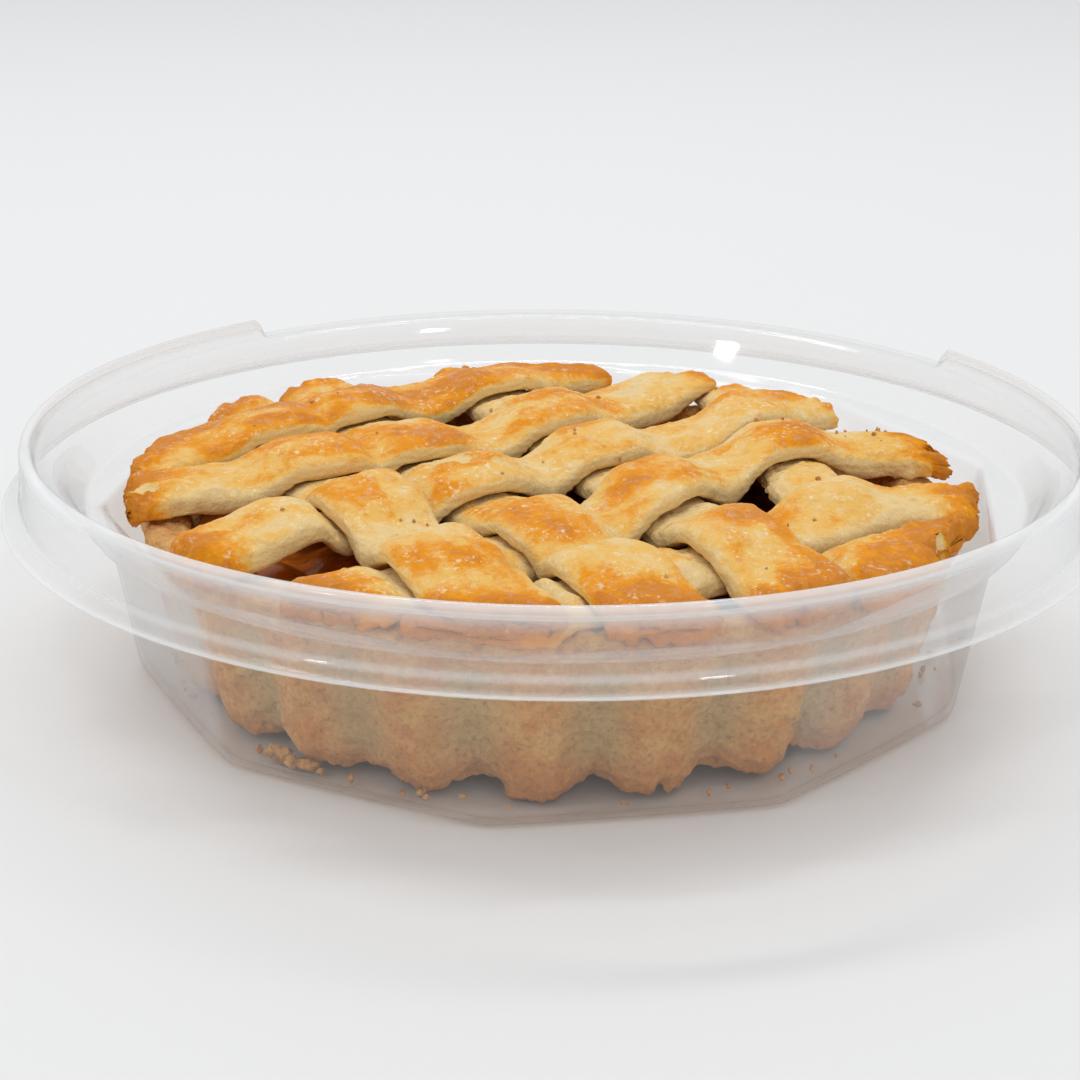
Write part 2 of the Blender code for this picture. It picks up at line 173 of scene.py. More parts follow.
# Apple filling
FILLING_TOP = 0.0207
FILLING_COLUMNS = 360
FILLING_RINGS = 110
FILLING_INNER_SHARE = 0.02
CHUNK_COUNT = 46
CHUNK_RADIUS = 0.0052
CHUNK_HEIGHT = 0.0022
CHUNK_SEED = 7
WET_RELIEF = 0.0002
WET_RELIEF_SIZE = 0.0028
WET_DEPTH = 0.004
# Painted light: the filling is painted lighter toward the rim between these radii
LIT_EDGE = (0.036, 0.046)

# Lattice strips
STRIP_THICKNESS = 0.0046
OVER_THICKNESS = 0.0038
PRESSED_THICKNESS = 0.0034
STRIP_LIFT = 0.0001
STRIP_END_RADIUS = 0.0626
STRIP_CAP = 0.0026
CAP_WIDTH = 0.55
TRIM_REACH = 0.0075
TRIM_SAMPLES = 241
TRIM_LINES = 61
STRIP_SAG = 0.0006
RIM_SQUEEZE = 0.34
SQUEEZE_START = 0.0440
SQUEEZE_END = 0.0590
SAG_START_RADIUS = 0.0570
SAG_END_RADIUS = 0.0440
DRAPE_GAP = 0.0004
DRAPE_START = -0.0030
DRAPE_END = 0.0064
PRESS_START = -0.0005
PRESS_END = 0.0046
CROSSING_SAMPLES = 110
HUMP_STRIP = "strip_long_3"
HUMP_PLACE = 0.0150
HUMP_REACH = 0.0075
HUMP_HEIGHT = 0.0030
END_DROOP = 0.0024
DROOP_START = 0.0608
DROOP_END = 0.0646
RAGGED_END = 0.0016
BELLY = -0.30
DOME_POWER = 2.6
SOLE_POWER = 5.0
SECTION_POINTS = 92
OVEN_SPREAD = 1.10
ROW_SPACING = 0.00038
STREAK = np.array([0.45, 1.0, 1.0])
CAP_ROWS = 9
RAGGED_END_SIZE = 0.0030
RAGGED_ANYWAY = 0.3
CRUMBLY_REACH = 0.015
STRIP_LUMP = 0.0085
STREAK_COARSE = 0.0030
STREAK_FINE = 0.0012
BLISTER_SPACING = 0.0030
BLISTER_RADIUS = 0.0013
SMALL_BLISTER_SPACING = 0.0013
SMALL_BLISTER_RADIUS = 0.0006
LAYER_THICKNESS = 0.0009
LAYER_WANDER = 0.004
END_CRUMB_SIZE = 0.0020

# A strip's relief, as shares of its ripple
LUMP_SHARE = 1.8
COARSE_SHARE = 1.1
FINE_SHARE = 0.45
SMALL_BLISTER_SHARE = 0.5
LAYER_SHARE = 0.35
END_CRUMB_SHARE = 3.6

# A strip's browning: what adds to its own or takes from it, and where toward the rim its ends and its
# sides brown
BROWN_LESS = 0.05
BROWN_OVER = 0.24
PALE_UNDER = 0.42
BROWN_PATCH = 0.26
BROWN_PATCH_SIZE = 0.010
BROWN_STREAK = 0.34
BROWN_STREAK_SIZE = 0.0042
BROWN_END = 0.48
BROWN_CRUMB = 0.34
PALE_EDGE = 0.15
END_RADII = (0.056, 0.063)
SIDE_RADII = (0.036, 0.056)
SIDE_SHARE = 0.10
SIDE_GAIN = 0.36

# Strips in the order in which they are laid, each over those before it that it crosses:
# name, angle of its first and last end round the rim in degrees, sideways bow, lean of the bow, width,
# part of its run, browning, how crumbly its first and last end are
STRIPS = (
    ("strip_cross_4", 61.0, -44.0, 0.0000, 1.0, 0.0105, (0.00, 0.72), 0.34, 0.3, 0.3),
    ("strip_long_6", -57.0, -28.5, 0.0020, 1.0, 0.0118, (0.33, 1.00), 0.50, 0.2, 0.8),
    ("strip_long_5", -98.5, -11.0, 0.0052, 3.0, 0.0130, (0.00, 1.00), 0.42, 0.5, 0.9),
    ("strip_cross_3", 104.0, -57.5, 0.0000, 1.0, 0.0132, (0.00, 1.00), 0.45, 0.3, 0.5),
    ("strip_long_4", -116.5, 13.0, 0.0148, 2.8, 0.0132, (0.00, 1.00), 0.45, 0.3, 1.0),
    ("strip_cross_2", 132.0, -76.0, 0.0000, 1.0, 0.0132, (0.00, 1.00), 0.50, 0.3, 0.5),
    ("strip_long_3", 220.5, 43.0, 0.0000, 1.0, 0.0132, (0.00, 1.00), 0.45, 0.4, 0.4),
    ("strip_cross_1", 148.0, -95.0, 0.0000, 1.0, 0.0132, (0.00, 1.00), 0.42, 0.3, 0.5),
    ("strip_long_2", 193.0, 67.5, -0.0080, 1.0, 0.0138, (0.00, 1.00), 0.55, 0.7, 0.3),
    ("strip_long_1", 177.5, 87.0, 0.0016, 1.0, 0.0140, (0.00, 1.00), 0.68, 0.5, 0.3),
)

# Torn flakes, where the glazed skin came away: strip, middle in plan, half size along X and Y
FLAKES = (
    ("strip_long_3", (-0.0158, -0.0082), (0.0052, 0.0034)),
    ("strip_long_3", (-0.0085, -0.0100), (0.0022, 0.0015)),
    ("strip_cross_4", (0.0330, 0.0010), (0.0030, 0.0060)),
    ("strip_long_2", (-0.0600, -0.0175), (0.0022, 0.0017)),
    ("strip_long_5", (0.0570, -0.0240), (0.0030, 0.0020)),
    ("strip_long_6", (0.0545, -0.0330), (0.0022, 0.0013)),
)
FLAKE_DEPTH = 0.0005
FLAKE_WANDER = 0.0022
FLAKE_GRAIN = 0.0012
FLAKE_PALING = 0.8

# Crumbs on the tub's floor round the foot of the pie, and on top of the pie
FLOOR_CRUMBS = 70
TOP_CRUMBS = 42
CRUMB_SIZE = 0.00055
CRUMB_SEED = 11
CRUMB_REACH = 0.0006
CRUMBLY_PLACE = (0.0490, 0.0180)
CRUMBLY_SPREAD = 0.0045
TOP_CRUMB_REACH = 0.060
FLOOR_CRUMB_RADIUS = 0.0590
FLOOR_CRUMB_RING = (0.0575, 0.0598)
FLOOR_CRUMB_SIZES = (0.5, 1.3)
TOP_CRUMB_SIZES = (0.35, 0.9)
CRUMB_REST = 0.7
CHIP_START = math.radians(-131.0)
CHIP_END = math.radians(-124.0)
CHIP_RADIUS = 0.0591
CHIP_SIZE = 0.0012
CHIP_LUMPS = 8
CHIP_SIZES = (0.6, 1.15)
CHIP_SCATTER = 0.4
CHIP_REST = 0.8
CRUMB_ROWS = 6
CRUMB_COLUMNS = 8

# Finishes: how far apart the patches and specks of each lie, and the spacing, depth and strength of its
# finest relief
PLASTIC_WAVES = (0.016, 0.0006, 0.18)
CRUST_PATCHES = 0.0048
CRUST_FLOUR = 0.0008
CRUST_LUMPS = (0.0022, 0.0016, 0.9)
CRUST_GRAIN = (0.0005, 0.00025, 0.5)
APPLE_PATCHES = 0.004
APPLE_GRAIN = (0.0014, 0.0005, 0.5)
GLAZE_PATCHES = 0.0024
GLAZE_STREAKS = 0.0010
GLAZE_SPOTS = 0.0012
GLAZE_FLECKS = 0.0006
# Pale specks in the glaze: partly pale dough and partly painted highlights of its sheen
GLAZE_HIGHLIGHT_SPECKS = 0.00095
GLAZE_HIGHLIGHT_GROUPS = 0.0060
GLAZE_SHINE = 0.0016
PASTRY_LUMPS = (0.0017, 0.0009, 0.65)
PASTRY_GRAIN = (0.00045, 0.0002, 0.55)
GLAZE_DENTS = (0.0022, 0.0010, 0.8)
GLAZE_GRAIN = (0.0008, 0.0004, 0.7)

# Camera, worked out from the photograph's rim and flutes; the frame is square
CAMERA_PLACE = (0.0, -0.3069, 0.1282)
CAMERA_PITCH = 0.3473
CAMERA_YAW = -0.0075
CAMERA_ROLL = math.radians(-0.48)
CAMERA_FOCUS = 2093.0 / 1080.0
SENSOR = 36.0

# Stage: a round floor just under the tub, the even light from all round, and the lamps, each with its
# name, place, width and depth, the setting that gives its power, and its colour
FLOOR_RADIUS = 4.0
FLOOR_SIDES = 96
FLOOR_DROP = 0.00005
SKY_COLOUR = (0.97, 0.985, 1.0, 1.0)
LIGHT_TARGET = (0.0, 0.0, 0.02)
LIGHTS = (
    ("light_above", (-0.12, 0.50, 1.00), (0.8, 0.08), "key_power", (1.0, 0.99, 0.97)),
    ("light_left", (-0.50, -0.35, 0.62), (0.06, 0.06), "fill_power", (1.0, 1.0, 1.0)),
    ("light_right", (0.30, -0.25, 0.75), (0.06, 0.06), "fill_power", (1.0, 1.0, 1.0)),
)

# Factors that mix a cell's three numbers and a seed into a steady random value
HASH_FACTORS = (374761393, 668265263, 1440662683)
HASH_SEED_FACTOR = 974634777
HASH_MIX = 1274126177


def smoothstep(start, end, value):
    """Blend from 0 at start to 1 at end: with t the clipped share of the way, 3 t^2 - 2 t^3."""
    share = np.clip((value - start) / (end - start), 0.0, 1.0)
    return share * share * (3.0 - 2.0 * share)


def around(turn, radius, height):
    """Points at these angles round the middle, at a radius and a height."""
    return np.stack(np.broadcast_arrays(radius * np.cos(turn), radius * np.sin(turn), height), axis=-1)


def cell_values(cells, seed):
    """Steady random values from -1 to 1 for whole-number cells: the sum of their three numbers and the
    seed, each times its factor, with its own higher bits mixed in twice."""
    mixed = seed * HASH_SEED_FACTOR + sum(cells[..., axis] * HASH_FACTORS[axis] for axis in range(3))
    mixed = (mixed ^ (mixed >> 13)) * HASH_MIX
    mixed = (mixed ^ (mixed >> 16)) & 0xFFFFFF
    return mixed / 0x7FFFFF - 1.0


def noise(points, size, seed):
    """Smooth random relief from about -1 to 1 whose bumps lie `size` apart.

    Random values sit on the corners of a cubic lattice, and each point blends the eight corners of its
    cell by the smoothstep of its place along x, y and z.
    """
    place = points / size
    cell = np.floor(place).astype(np.int64)
    inside = place - cell
    weight = inside * inside * (3.0 - 2.0 * inside)
    total = 0.0
    for corner in np.ndindex(2, 2, 2):
        share = np.prod(np.where(corner, weight, 1.0 - weight), axis=-1)
        total = total + share * cell_values(cell + np.array(corner), seed)
    return total


def rough(points, size, seed, octaves=3):
    """Sum of noise layers, each of half the size and half the height of the one before."""
    return sum(noise(points, size / 2 ** layer, seed + layer) / 2 ** layer for layer in range(octaves))


def bubbles(points, spacing, radius, seed, share=1.0):
    """Round bumps from 0 to 1 at random places: one in some of the cells of a cubic lattice.

    A bump of radius r adds (1 - (d / r)^2)^2 at distance d from its middle, and the highest one counts.
    """
    cell = np.floor(points / spacing).astype(np.int64)
    highest = np.zeros(points.shape[:-1])
    for step in np.ndindex(3, 3, 3):
        near = cell + np.array(step) - 1
        shift = np.stack([cell_values(near, seed + axis) for axis in range(3)], axis=-1)
        middle = (near + 0.5 + 0.4 * shift) * spacing
        size = radius * (0.75 + 0.25 * cell_values(near, seed + 3))
        away = np.linalg.norm(points - middle, axis=-1) / size
        shown = cell_values(near, seed + 4) < 2.0 * share - 1.0
        highest = np.maximum(highest, shown * np.clip(1.0 - away ** 2, 0.0, 1.0) ** 2)
    return highest


def grid_normals(grid):
    """Unit normals of a grid that closes on itself along its columns, square to both its directions."""
    down = np.gradient(grid, axis=0)
    round_ = np.roll(grid, -1, axis=1) - np.roll(grid, 1, axis=1)
    normal = np.cross(round_, down)
    return normal / np.maximum(np.linalg.norm(normal, axis=-1), 1e-12)[..., None]


def ring_faces(rows, columns):
    """Four-sided faces between closed rings of points, and fans on the two points after them at the ends."""
    index = np.arange(rows * columns).reshape(rows, columns)
    after = np.roll(index, -1, axis=1)
    quads = np.stack([index[:-1], after[:-1], after[1:], index[1:]], axis=-1).reshape(-1, 4)
    first = np.full(columns, rows * columns)
    start = np.stack([first, after[0], index[0]], axis=-1)
    finish = np.stack([first + 1, index[-1], after[-1]], axis=-1)
    return quads, np.concatenate([start, finish])


def closed_mesh(name, grid):
    """Mesh of a grid whose columns close on themselves, shut at both ends by a fan on the mean point.

    Rows are rings. Where the volume inside comes out negative, every face is turned round.
    """
    quads, fans = ring_faces(*grid.shape[:2])
    points = np.concatenate([grid.reshape(-1, 3), [grid[0].mean(axis=0), grid[-1].mean(axis=0)]])
    corners = [quads[:, (0, 1, 2)], quads[:, (0, 2, 3)], fans]
    volume = sum(
        np.sum(points[c[:, 0]] * np.cross(points[c[:, 1]], points[c[:, 2]])) for c in corners)
    if volume < 0.0:
        quads = quads[:, ::-1]
        fans = fans[:, ::-1]
    return mesh_from_faces(name, points, quads, fans)


def mesh_from_faces(name, points, quads, triangles):
    """Mesh from arrays of points, four-sided faces and triangles."""
    mesh = bpy.data.meshes.new(name)
    mesh.vertices.add(len(points))
    mesh.vertices.foreach_set("co", points.astype(np.float32).ravel())
    loops = np.concatenate([quads.ravel(), triangles.ravel()]).astype(np.int32)
    sizes = np.concatenate([np.full(len(quads), 4), np.full(len(triangles), 3)])
    mesh.loops.add(len(loops))
    mesh.loops.foreach_set("vertex_index", loops)
    mesh.polygons.add(len(sizes))
    mesh.polygons.foreach_set("loop_start", (np.cumsum(sizes) - sizes).astype(np.int32))
    mesh.update(calc_edges=True)
    mesh.shade_smooth()
    return mesh


def store(mesh, name, values):
    """Keep one number for each point of the mesh, for its material to read."""
    layer = mesh.attributes.new(name, "FLOAT", "POINT")
    layer.data.foreach_set("value", values.astype(np.float32))


def store_rows(mesh, name, values):
    """Keep one number for each grid point, and the end rows' means for the two closing points."""
    store(mesh, name, np.concatenate([values.ravel(), [values[0].mean(), values[-1].mean()]]))


def add_piece(name, mesh, finish, slot, *nodes):
    """Show the mesh as a piece of the pie that stands for these CAD nodes."""
    mesh.materials.append(finish)
    piece = bpy.data.objects.new(name, mesh)
    bpy.context.scene.collection.objects.link(piece)
    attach(piece, BODY)
    if nodes:
        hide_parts(*nodes)
    return piece


class Finish:
    """A node material being put together on one Principled shader."""

    def __init__(self, name):
        self.made = bpy.data.materials.new(name)
        self.made.use_nodes = True
        self.tree = self.made.node_tree
        self.tree.nodes.clear()
        self.shader = self.tree.nodes.new("ShaderNodeBsdfPrincipled")
        self.output = self.tree.nodes.new("ShaderNodeOutputMaterial")
        self.join(self.shader.outputs["BSDF"], self.output.inputs["Surface"])
        self.place = self.tree.nodes.new("ShaderNodeTexCoord").outputs["Object"]

    def join(self, source, target):
        """Link a socket to another, or set the value if it isn't a socket."""
        if isinstance(source, bpy.types.NodeSocket):
            self.tree.links.new(source, target)
        else:
            target.default_value = source

    def set(self, **values):
        """Set the shader's own sockets; a name's underscores stand for spaces."""
        for name, value in values.items():
            self.join(value, self.shader.inputs[name.replace("_", " ")])

    def grain(self, spacing, detail=3.0, roughness=0.55):
        """Noise from 0 to 1 on object coordinates, with features about `spacing` metres apart."""
        node = self.tree.nodes.new("ShaderNodeTexNoise")
        node.inputs["Scale"].default_value = 1.0 / spacing
        node.inputs["Detail"].default_value = detail
        node.inputs["Roughness"].default_value = roughness
        self.join(self.place, node.inputs["Vector"])
        return node.outputs["Fac"]

    def attribute(self, name):
        """Value that the mesh keeps for each point."""
        node = self.tree.nodes.new("ShaderNodeAttribute")
        node.attribute_name = name
        return node.outputs["Fac"]

    def sum(self, operation, first, second, third=None):
        """One step of arithmetic."""
        node = self.tree.nodes.new("ShaderNodeMath")
        node.operation = operation
        self.join(first, node.inputs[0])
        self.join(second, node.inputs[1])
        if third is not None:
            self.join(third, node.inputs[2])
        return node.outputs[0]

    def spread(self, value, low, high, to_low=0.0, to_high=1.0):
        """Carry a value from one range to another, clamped."""
        node = self.tree.nodes.new("ShaderNodeMapRange")
        for name, number in (("From Min", low), ("From Max", high), ("To Min", to_low), ("To Max", to_high)):
            node.inputs[name].default_value = number
        self.join(value, node.inputs["Value"])
        return node.outputs["Result"]

    def ramp(self, value, stops):
        """Colour along a ramp of (place, colour) stops."""
        node = self.tree.nodes.new("ShaderNodeValToRGB")
        node.color_ramp.interpolation = "EASE"
        elements = node.color_ramp.elements
        while len(elements) < len(stops):
            elements.new(0.5)
        for element, (place, colour) in zip(elements, stops):
            element.position = place
            element.color = (*colour[:3], 1.0)
        self.join(value, node.inputs["Fac"])
        return node.outputs["Color"]

    def mix(self, share, first, second, blend="MIX"):
        """Blend two colours by a share."""
        node = self.tree.nodes.new("ShaderNodeMix")
        node.data_type = "RGBA"
        node.blend_type = blend
        self.join(share, node.inputs[0])
        for colour, target in ((first, node.inputs[6]), (second, node.inputs[7])):
            self.join(colour if isinstance(colour, bpy.types.NodeSocket) else (*colour[:3], 1.0), target)
        return node.outputs[2]

    def either(self, share, first, second):
        """Mix two shaders by a share."""
        node = self.tree.nodes.new("ShaderNodeMixShader")
        self.join(share, node.inputs[0])
        self.join(first, node.inputs[1])
        self.join(second, node.inputs[2])
        return node.outputs["Shader"]

    def bump(self, height, strength, distance, under=None):
        """Bump from a height, on top of another bump if given."""
        node = self.tree.nodes.new("ShaderNodeBump")
        node.inputs["Strength"].default_value = strength
        node.inputs["Distance"].default_value = distance
        self.join(height, node.inputs["Height"])
        if under is not None:
            self.join(under, node.inputs["Normal"])
        return node.outputs["Normal"]

    def relief(self, kind, detail, roughness=0.55, under=None):
        """Bump of one kind of grain, given by its spacing, depth and strength."""
        spacing, depth, strength = kind
        return self.bump(self.grain(spacing, detail, roughness), strength, depth, under)


class PieTubSettings(bpy.types.PropertyGroup):
    """Clear plastic tub."""

    wall: FloatProperty(
        name="Wall", description="Thickness of the plastic", default=0.0005, unit="LENGTH", precision=4)
    tint: FloatVectorProperty(
        name="Tint", description="Colour of the plastic", default=(0.97, 0.975, 0.975), subtype="COLOR")
    gloss_roughness: FloatProperty(
        name="Roughness", description="Roughness of the plastic's surface", default=0.05, subtype="FACTOR")
    haze: FloatProperty(
        name="Haze", description="Milkiness seen straight through one face", default=0.018, subtype="FACTOR")
    edge_haze: FloatProperty(
        name="Edge haze", description="Milkiness seen along a face", default=0.30, subtype="FACTOR")
    formed_haze: FloatProperty(
        name="Formed edges", description="Milkiness of the bead, the steps and the lip", default=0.55,
        subtype="FACTOR")


class PieCrustSettings(bpy.types.PropertyGroup):
    """Pastry case."""

    light: FloatVectorProperty(
        name="Light", description="Colour of the pale crumb", default=(0.87, 0.495, 0.172), subtype="COLOR")
    baked: FloatVectorProperty(
        name="Baked", description="Colour of the baked crumb", default=(0.76, 0.305, 0.066), subtype="COLOR")
    # Painted shade: the colour the wall's flute valleys are darkened to, where shade falls between the
    # flutes
    valley: FloatVectorProperty(
        name="Valley", description="Colour between the flutes", default=(0.64, 0.42, 0.172), subtype="COLOR")
    # Painted shade: the colour the case darkens to toward its foot, where it meets the floor
    foot: FloatVectorProperty(
        name="Foot", description="Colour of the darker foot", default=(0.72, 0.3, 0.082), subtype="COLOR")
    crumb_height: FloatProperty(
        name="Crumb", description="Height of the crumbly relief", default=0.0006, unit="LENGTH", precision=5)


class PieFillingSettings(bpy.types.PropertyGroup):
    """Cooked apple."""

    # Dark: the juice's own colour with painted shade; Lit: the apple pieces' own colour with painted light
    juice_and_shade: FloatVectorProperty(
        name="Dark", description="Colour of the juice", default=(0.085, 0.01, 0.002), subtype="COLOR")
    lit: FloatVectorProperty(
        name="Lit", description="Colour of the apple pieces", default=(0.64, 0.16, 0.006), subtype="COLOR")


class PieLatticeSettings(bpy.types.PropertyGroup):
    """Glazed strips of the lattice."""

    pale: FloatVectorProperty(
        name="Pale", description="Colour of shielded dough", default=(0.78, 0.57, 0.27), subtype="COLOR")
    yellow: FloatVectorProperty(
        name="Yellow", description="Colour of lightly baked dough", default=(0.83, 0.59, 0.26),
        subtype="COLOR")
    golden: FloatVectorProperty(
        name="Golden", description="Colour of glazed crests", default=(0.84, 0.5, 0.13), subtype="COLOR")
    orange: FloatVectorProperty(
        name="Orange", description="Colour of well baked crests", default=(0.81, 0.3, 0.012),
        subtype="COLOR")
    brown: FloatVectorProperty(
        name="Brown", description="Colour of the browned ends", default=(0.66, 0.235, 0.03), subtype="COLOR")
    blister: FloatVectorProperty(
        name="Blister", description="Colour of the blisters", default=(0.72, 0.25, 0.012), subtype="COLOR")
    # Pale specks of the glaze: partly pale dough and partly a painted highlight of its sheen
    speck_highlight: FloatVectorProperty(
        name="Speck", description="Colour of the pale specks in the glaze", default=(0.90, 0.76, 0.50),
        subtype="COLOR")
    ripple: FloatProperty(
        name="Ripple", description="Height of the uneven glaze", default=0.00021, unit="LENGTH", precision=5)


class PieCrumbSettings(bpy.types.PropertyGroup):
    """Loose crumbs."""

    floor_count: IntProperty(
        name="On the floor", description="Crumbs on the tub's floor", default=FLOOR_CRUMBS)
    top_count: IntProperty(
        name="On the pie", description="Crumbs on the lattice", default=TOP_CRUMBS)
    size: FloatProperty(
        name="Size", description="Usual radius of a crumb", default=CRUMB_SIZE, unit="LENGTH", precision=5)


class PieStageSettings(bpy.types.PropertyGroup):
    """Floor and lights."""

    floor: FloatVectorProperty(
        name="Floor", description="Colour of the floor", default=(0.80, 0.80, 0.80), subtype="COLOR")
    key_power: FloatProperty(
        name="Key", description="Power of the soft light above", default=2.6, unit="POWER")
    fill_power: FloatProperty(
        name="Fill", description="Power of the front lights", default=0.34, unit="POWER")
    sky: FloatProperty(
        name="Sky", description="Strength of the even light from all round", default=0.838)


def rounded_profile(rings, radius, steps):
    """Round the corners between profile rings.

    Each inner ring V becomes the curve (1-t)^2 A + 2 t (1-t) V + t^2 B, where A and B lie toward its
    neighbours, at the rounding radius or at 0.45 of the way if that is nearer.
    """
    made = [rings[0]]
    for before, corner, after in zip(rings, rings[1:], rings[2:]):
        ends = []
        for other in (before, after):
            away = other - corner
            length = np.maximum(np.linalg.norm(away, axis=-1), 1e-9)[:, None]
            ends.append(corner + away / length * np.minimum(radius, 0.45 * length))
        for t in np.linspace(0.0, 1.0, steps):
            made.append((1 - t) ** 2 * ends[0] + 2 * t * (1 - t) * corner + t ** 2 * ends[1])
    made.append(rings[-1])
    return np.array(made)


def ten_sided(angles, corner_radius, roundness):
    """Radius of the tub's body: flat sides between softened corners.

    A flat side is at cos(half a side) / cos(angle from its middle) times the corner's radius; roundness
    blends that toward its mean, and the mean of five near angles softens the corner.
    """
    side = 2.0 * math.pi / TUB_SIDES
    near = angles[:, None] + CORNER_SOFTENING * np.linspace(-1.0, 1.0, 5)
    from_corner = (near - TUB_FIRST_CORNER) % side
    flat = np.mean(math.cos(side / 2.0) / np.cos(from_corner - side / 2.0), axis=1)
    mean = 0.5 * (1.0 + math.cos(side / 2.0))
    return corner_radius * (flat * (1.0 - roundness) + mean * roundness)


def tub_profile(angles, wall):
    """Radius and height of the tub's rings, from the underside's middle out, up, over and back down."""
    circle = np.ones_like(angles)
    gap = smoothstep(BEAD_GAP_START, BEAD_GAP_START + BEAD_GAP_RAMP, angles)
    gap = gap * (1.0 - smoothstep(BEAD_GAP_END - BEAD_GAP_RAMP, BEAD_GAP_END, angles))
    rise = BEAD_HEIGHT * (1.0 - gap)
    band = TUB_HEIGHT - BEAD_HEIGHT
    foot = ten_sided(angles, BODY_FOOT_CORNER_RADIUS, FOOT_ROUNDNESS)
    body = ten_sided(angles, BODY_TOP_CORNER_RADIUS, BODY_ROUNDNESS)
    body_z = TUB_HEIGHT - BODY_TOP_DROP
    shoulder_z = TUB_HEIGHT - SHOULDER_DROP
    roll_z = TUB_HEIGHT - ROLL_DROP
    skirt = BEAD_RADIUS + SKIRT_SPREAD
    flange_z = TUB_HEIGHT - FLANGE_DROP
    skirt_z = TUB_HEIGHT - SKIRT_DROP
    fillet = FLOOR_FILLET
    bead_middle = BEAD_RADIUS - 0.5 * BEAD_WIDTH
    profile = (
        (0.3 * foot, 0.0),
        (foot - 3.0 * fillet, 0.0),
        (foot - fillet, 0.0),
        (foot - 0.3 * fillet, 0.3 * fillet),
        (foot, fillet),
        (body, body_z),
        (SHOULDER_RADIUS * circle, shoulder_z - wall),
        (ROLL_RADIUS * circle, roll_z - wall),
        ((BAND_INNER_RADIUS + wall) * circle, band - wall),
        (bead_middle * circle, band - wall + 0.8 * rise),
        ((BEAD_RADIUS - wall) * circle, band - wall),
        ((skirt - wall) * circle, skirt_z - wall),
        ((FLANGE_RADIUS - 0.5 * wall) * circle, flange_z - wall),
        (FLANGE_RADIUS * circle, flange_z - 0.5 * wall),
        ((FLANGE_RADIUS - 0.5 * wall) * circle, flange_z),
        (skirt * circle, skirt_z),
        (BEAD_RADIUS * circle, band - 0.4 * wall),
        (BEAD_RADIUS * circle, band + 0.75 * rise),
        ((BEAD_RADIUS - 0.3 * BEAD_WIDTH) * circle, band + rise),
        ((BEAD_RADIUS - 0.7 * BEAD_WIDTH) * circle, band + rise),
        ((BEAD_RADIUS - BEAD_WIDTH) * circle, band + 0.05 * rise),
        (BAND_INNER_RADIUS * circle, band + 0.0 * circle),
        ((ROLL_RADIUS - wall) * circle, roll_z),
        ((SHOULDER_RADIUS - wall) * circle, shoulder_z),
        (body - wall, body_z - 0.5 * wall),
        (foot - wall, fillet + wall),
        (foot - fillet - wall, wall),
        (foot - 3.0 * fillet - wall, wall),
        (0.3 * foot, wall),
    )
    return [np.stack([radius, np.broadcast_to(height, angles.shape)], axis=-1) for radius, height in profile]


def milky_edges(rings):
    """How milky the plastic is, 0 to 1: the sum of s exp(-(d / w)^2) over the formed edges of its section.

    d is the distance to an edge in the section, w its reach and s its strength.
    """
    total = np.zeros(rings.shape[:2])
    for radius, height, reach, strength in MILKY_EDGES:
        away = np.hypot(rings[..., 0] - radius, rings[..., 1] - height)
        total = total + strength * np.exp(-(away / reach) ** 2)
    return np.clip(total, 0.0, 1.0)


def clear_plastic(settings):
    """Thin glossy plastic that lets lamps through, with faint waves from its mould.

    The more it is seen along its face, the milkier and shinier it is; its formed edges are milky as well.
    """
    finish = Finish("clear_plastic")
    waves = finish.relief(PLASTIC_WAVES, 1.0)
    finish.set(Base_Color=(*settings.tint, 1.0), Roughness=0.5, Specular_IOR_Level=0.0)
    clear = finish.tree.nodes.new("ShaderNodeBsdfTransparent")
    gloss = finish.tree.nodes.new("ShaderNodeBsdfGlossy")
    gloss.inputs["Roughness"].default_value = settings.gloss_roughness
    finish.join(waves, gloss.inputs["Normal"])
    facing = finish.tree.nodes.new("ShaderNodeLayerWeight")
    facing.inputs["Blend"].default_value = 0.5
    along = facing.outputs["Facing"]
    haze = finish.spread(finish.sum("POWER", along, HAZE_POWER), 0.0, 1.0, settings.haze, settings.edge_haze)
    haze = finish.sum("MULTIPLY_ADD", finish.attribute("milky"), settings.formed_haze, haze)
    veil = finish.either(haze, clear.outputs["BSDF"], finish.shader.outputs["BSDF"])
    shine = finish.spread(finish.sum("POWER", along, SHINE_POWER), 0.0, 1.0, HEAD_ON_SHINE, 1.0)
    finish.join(finish.either(shine, veil, gloss.outputs["BSDF"]), finish.output.inputs["Surface"])
    return finish.made


def fall(points):
    """How much lower the pie's top is at a plan point than at its middle."""
    return FALL_BACK * points[..., 1] + FALL_RIGHT * points[..., 0]


def short(angles):
    """How much shorter the pie's rim is in each direction: the back right side was pressed in."""
    away = np.abs((angles - SHORT_SIDE + math.pi) % (2.0 * math.pi) - math.pi)
    return SHORT_BY * (1.0 - smoothstep(0.0, SHORT_SPAN, away))


def pie_ring(angles, radius, height, share=0.0):
    """Ring of the pie at radius and height; share says how far the pressed side and the fall reach it."""
    ring = around(angles, radius - share * short(angles), height)
    ring[..., 2] -= share * fall(ring)
    return ring + PIE_PLACE


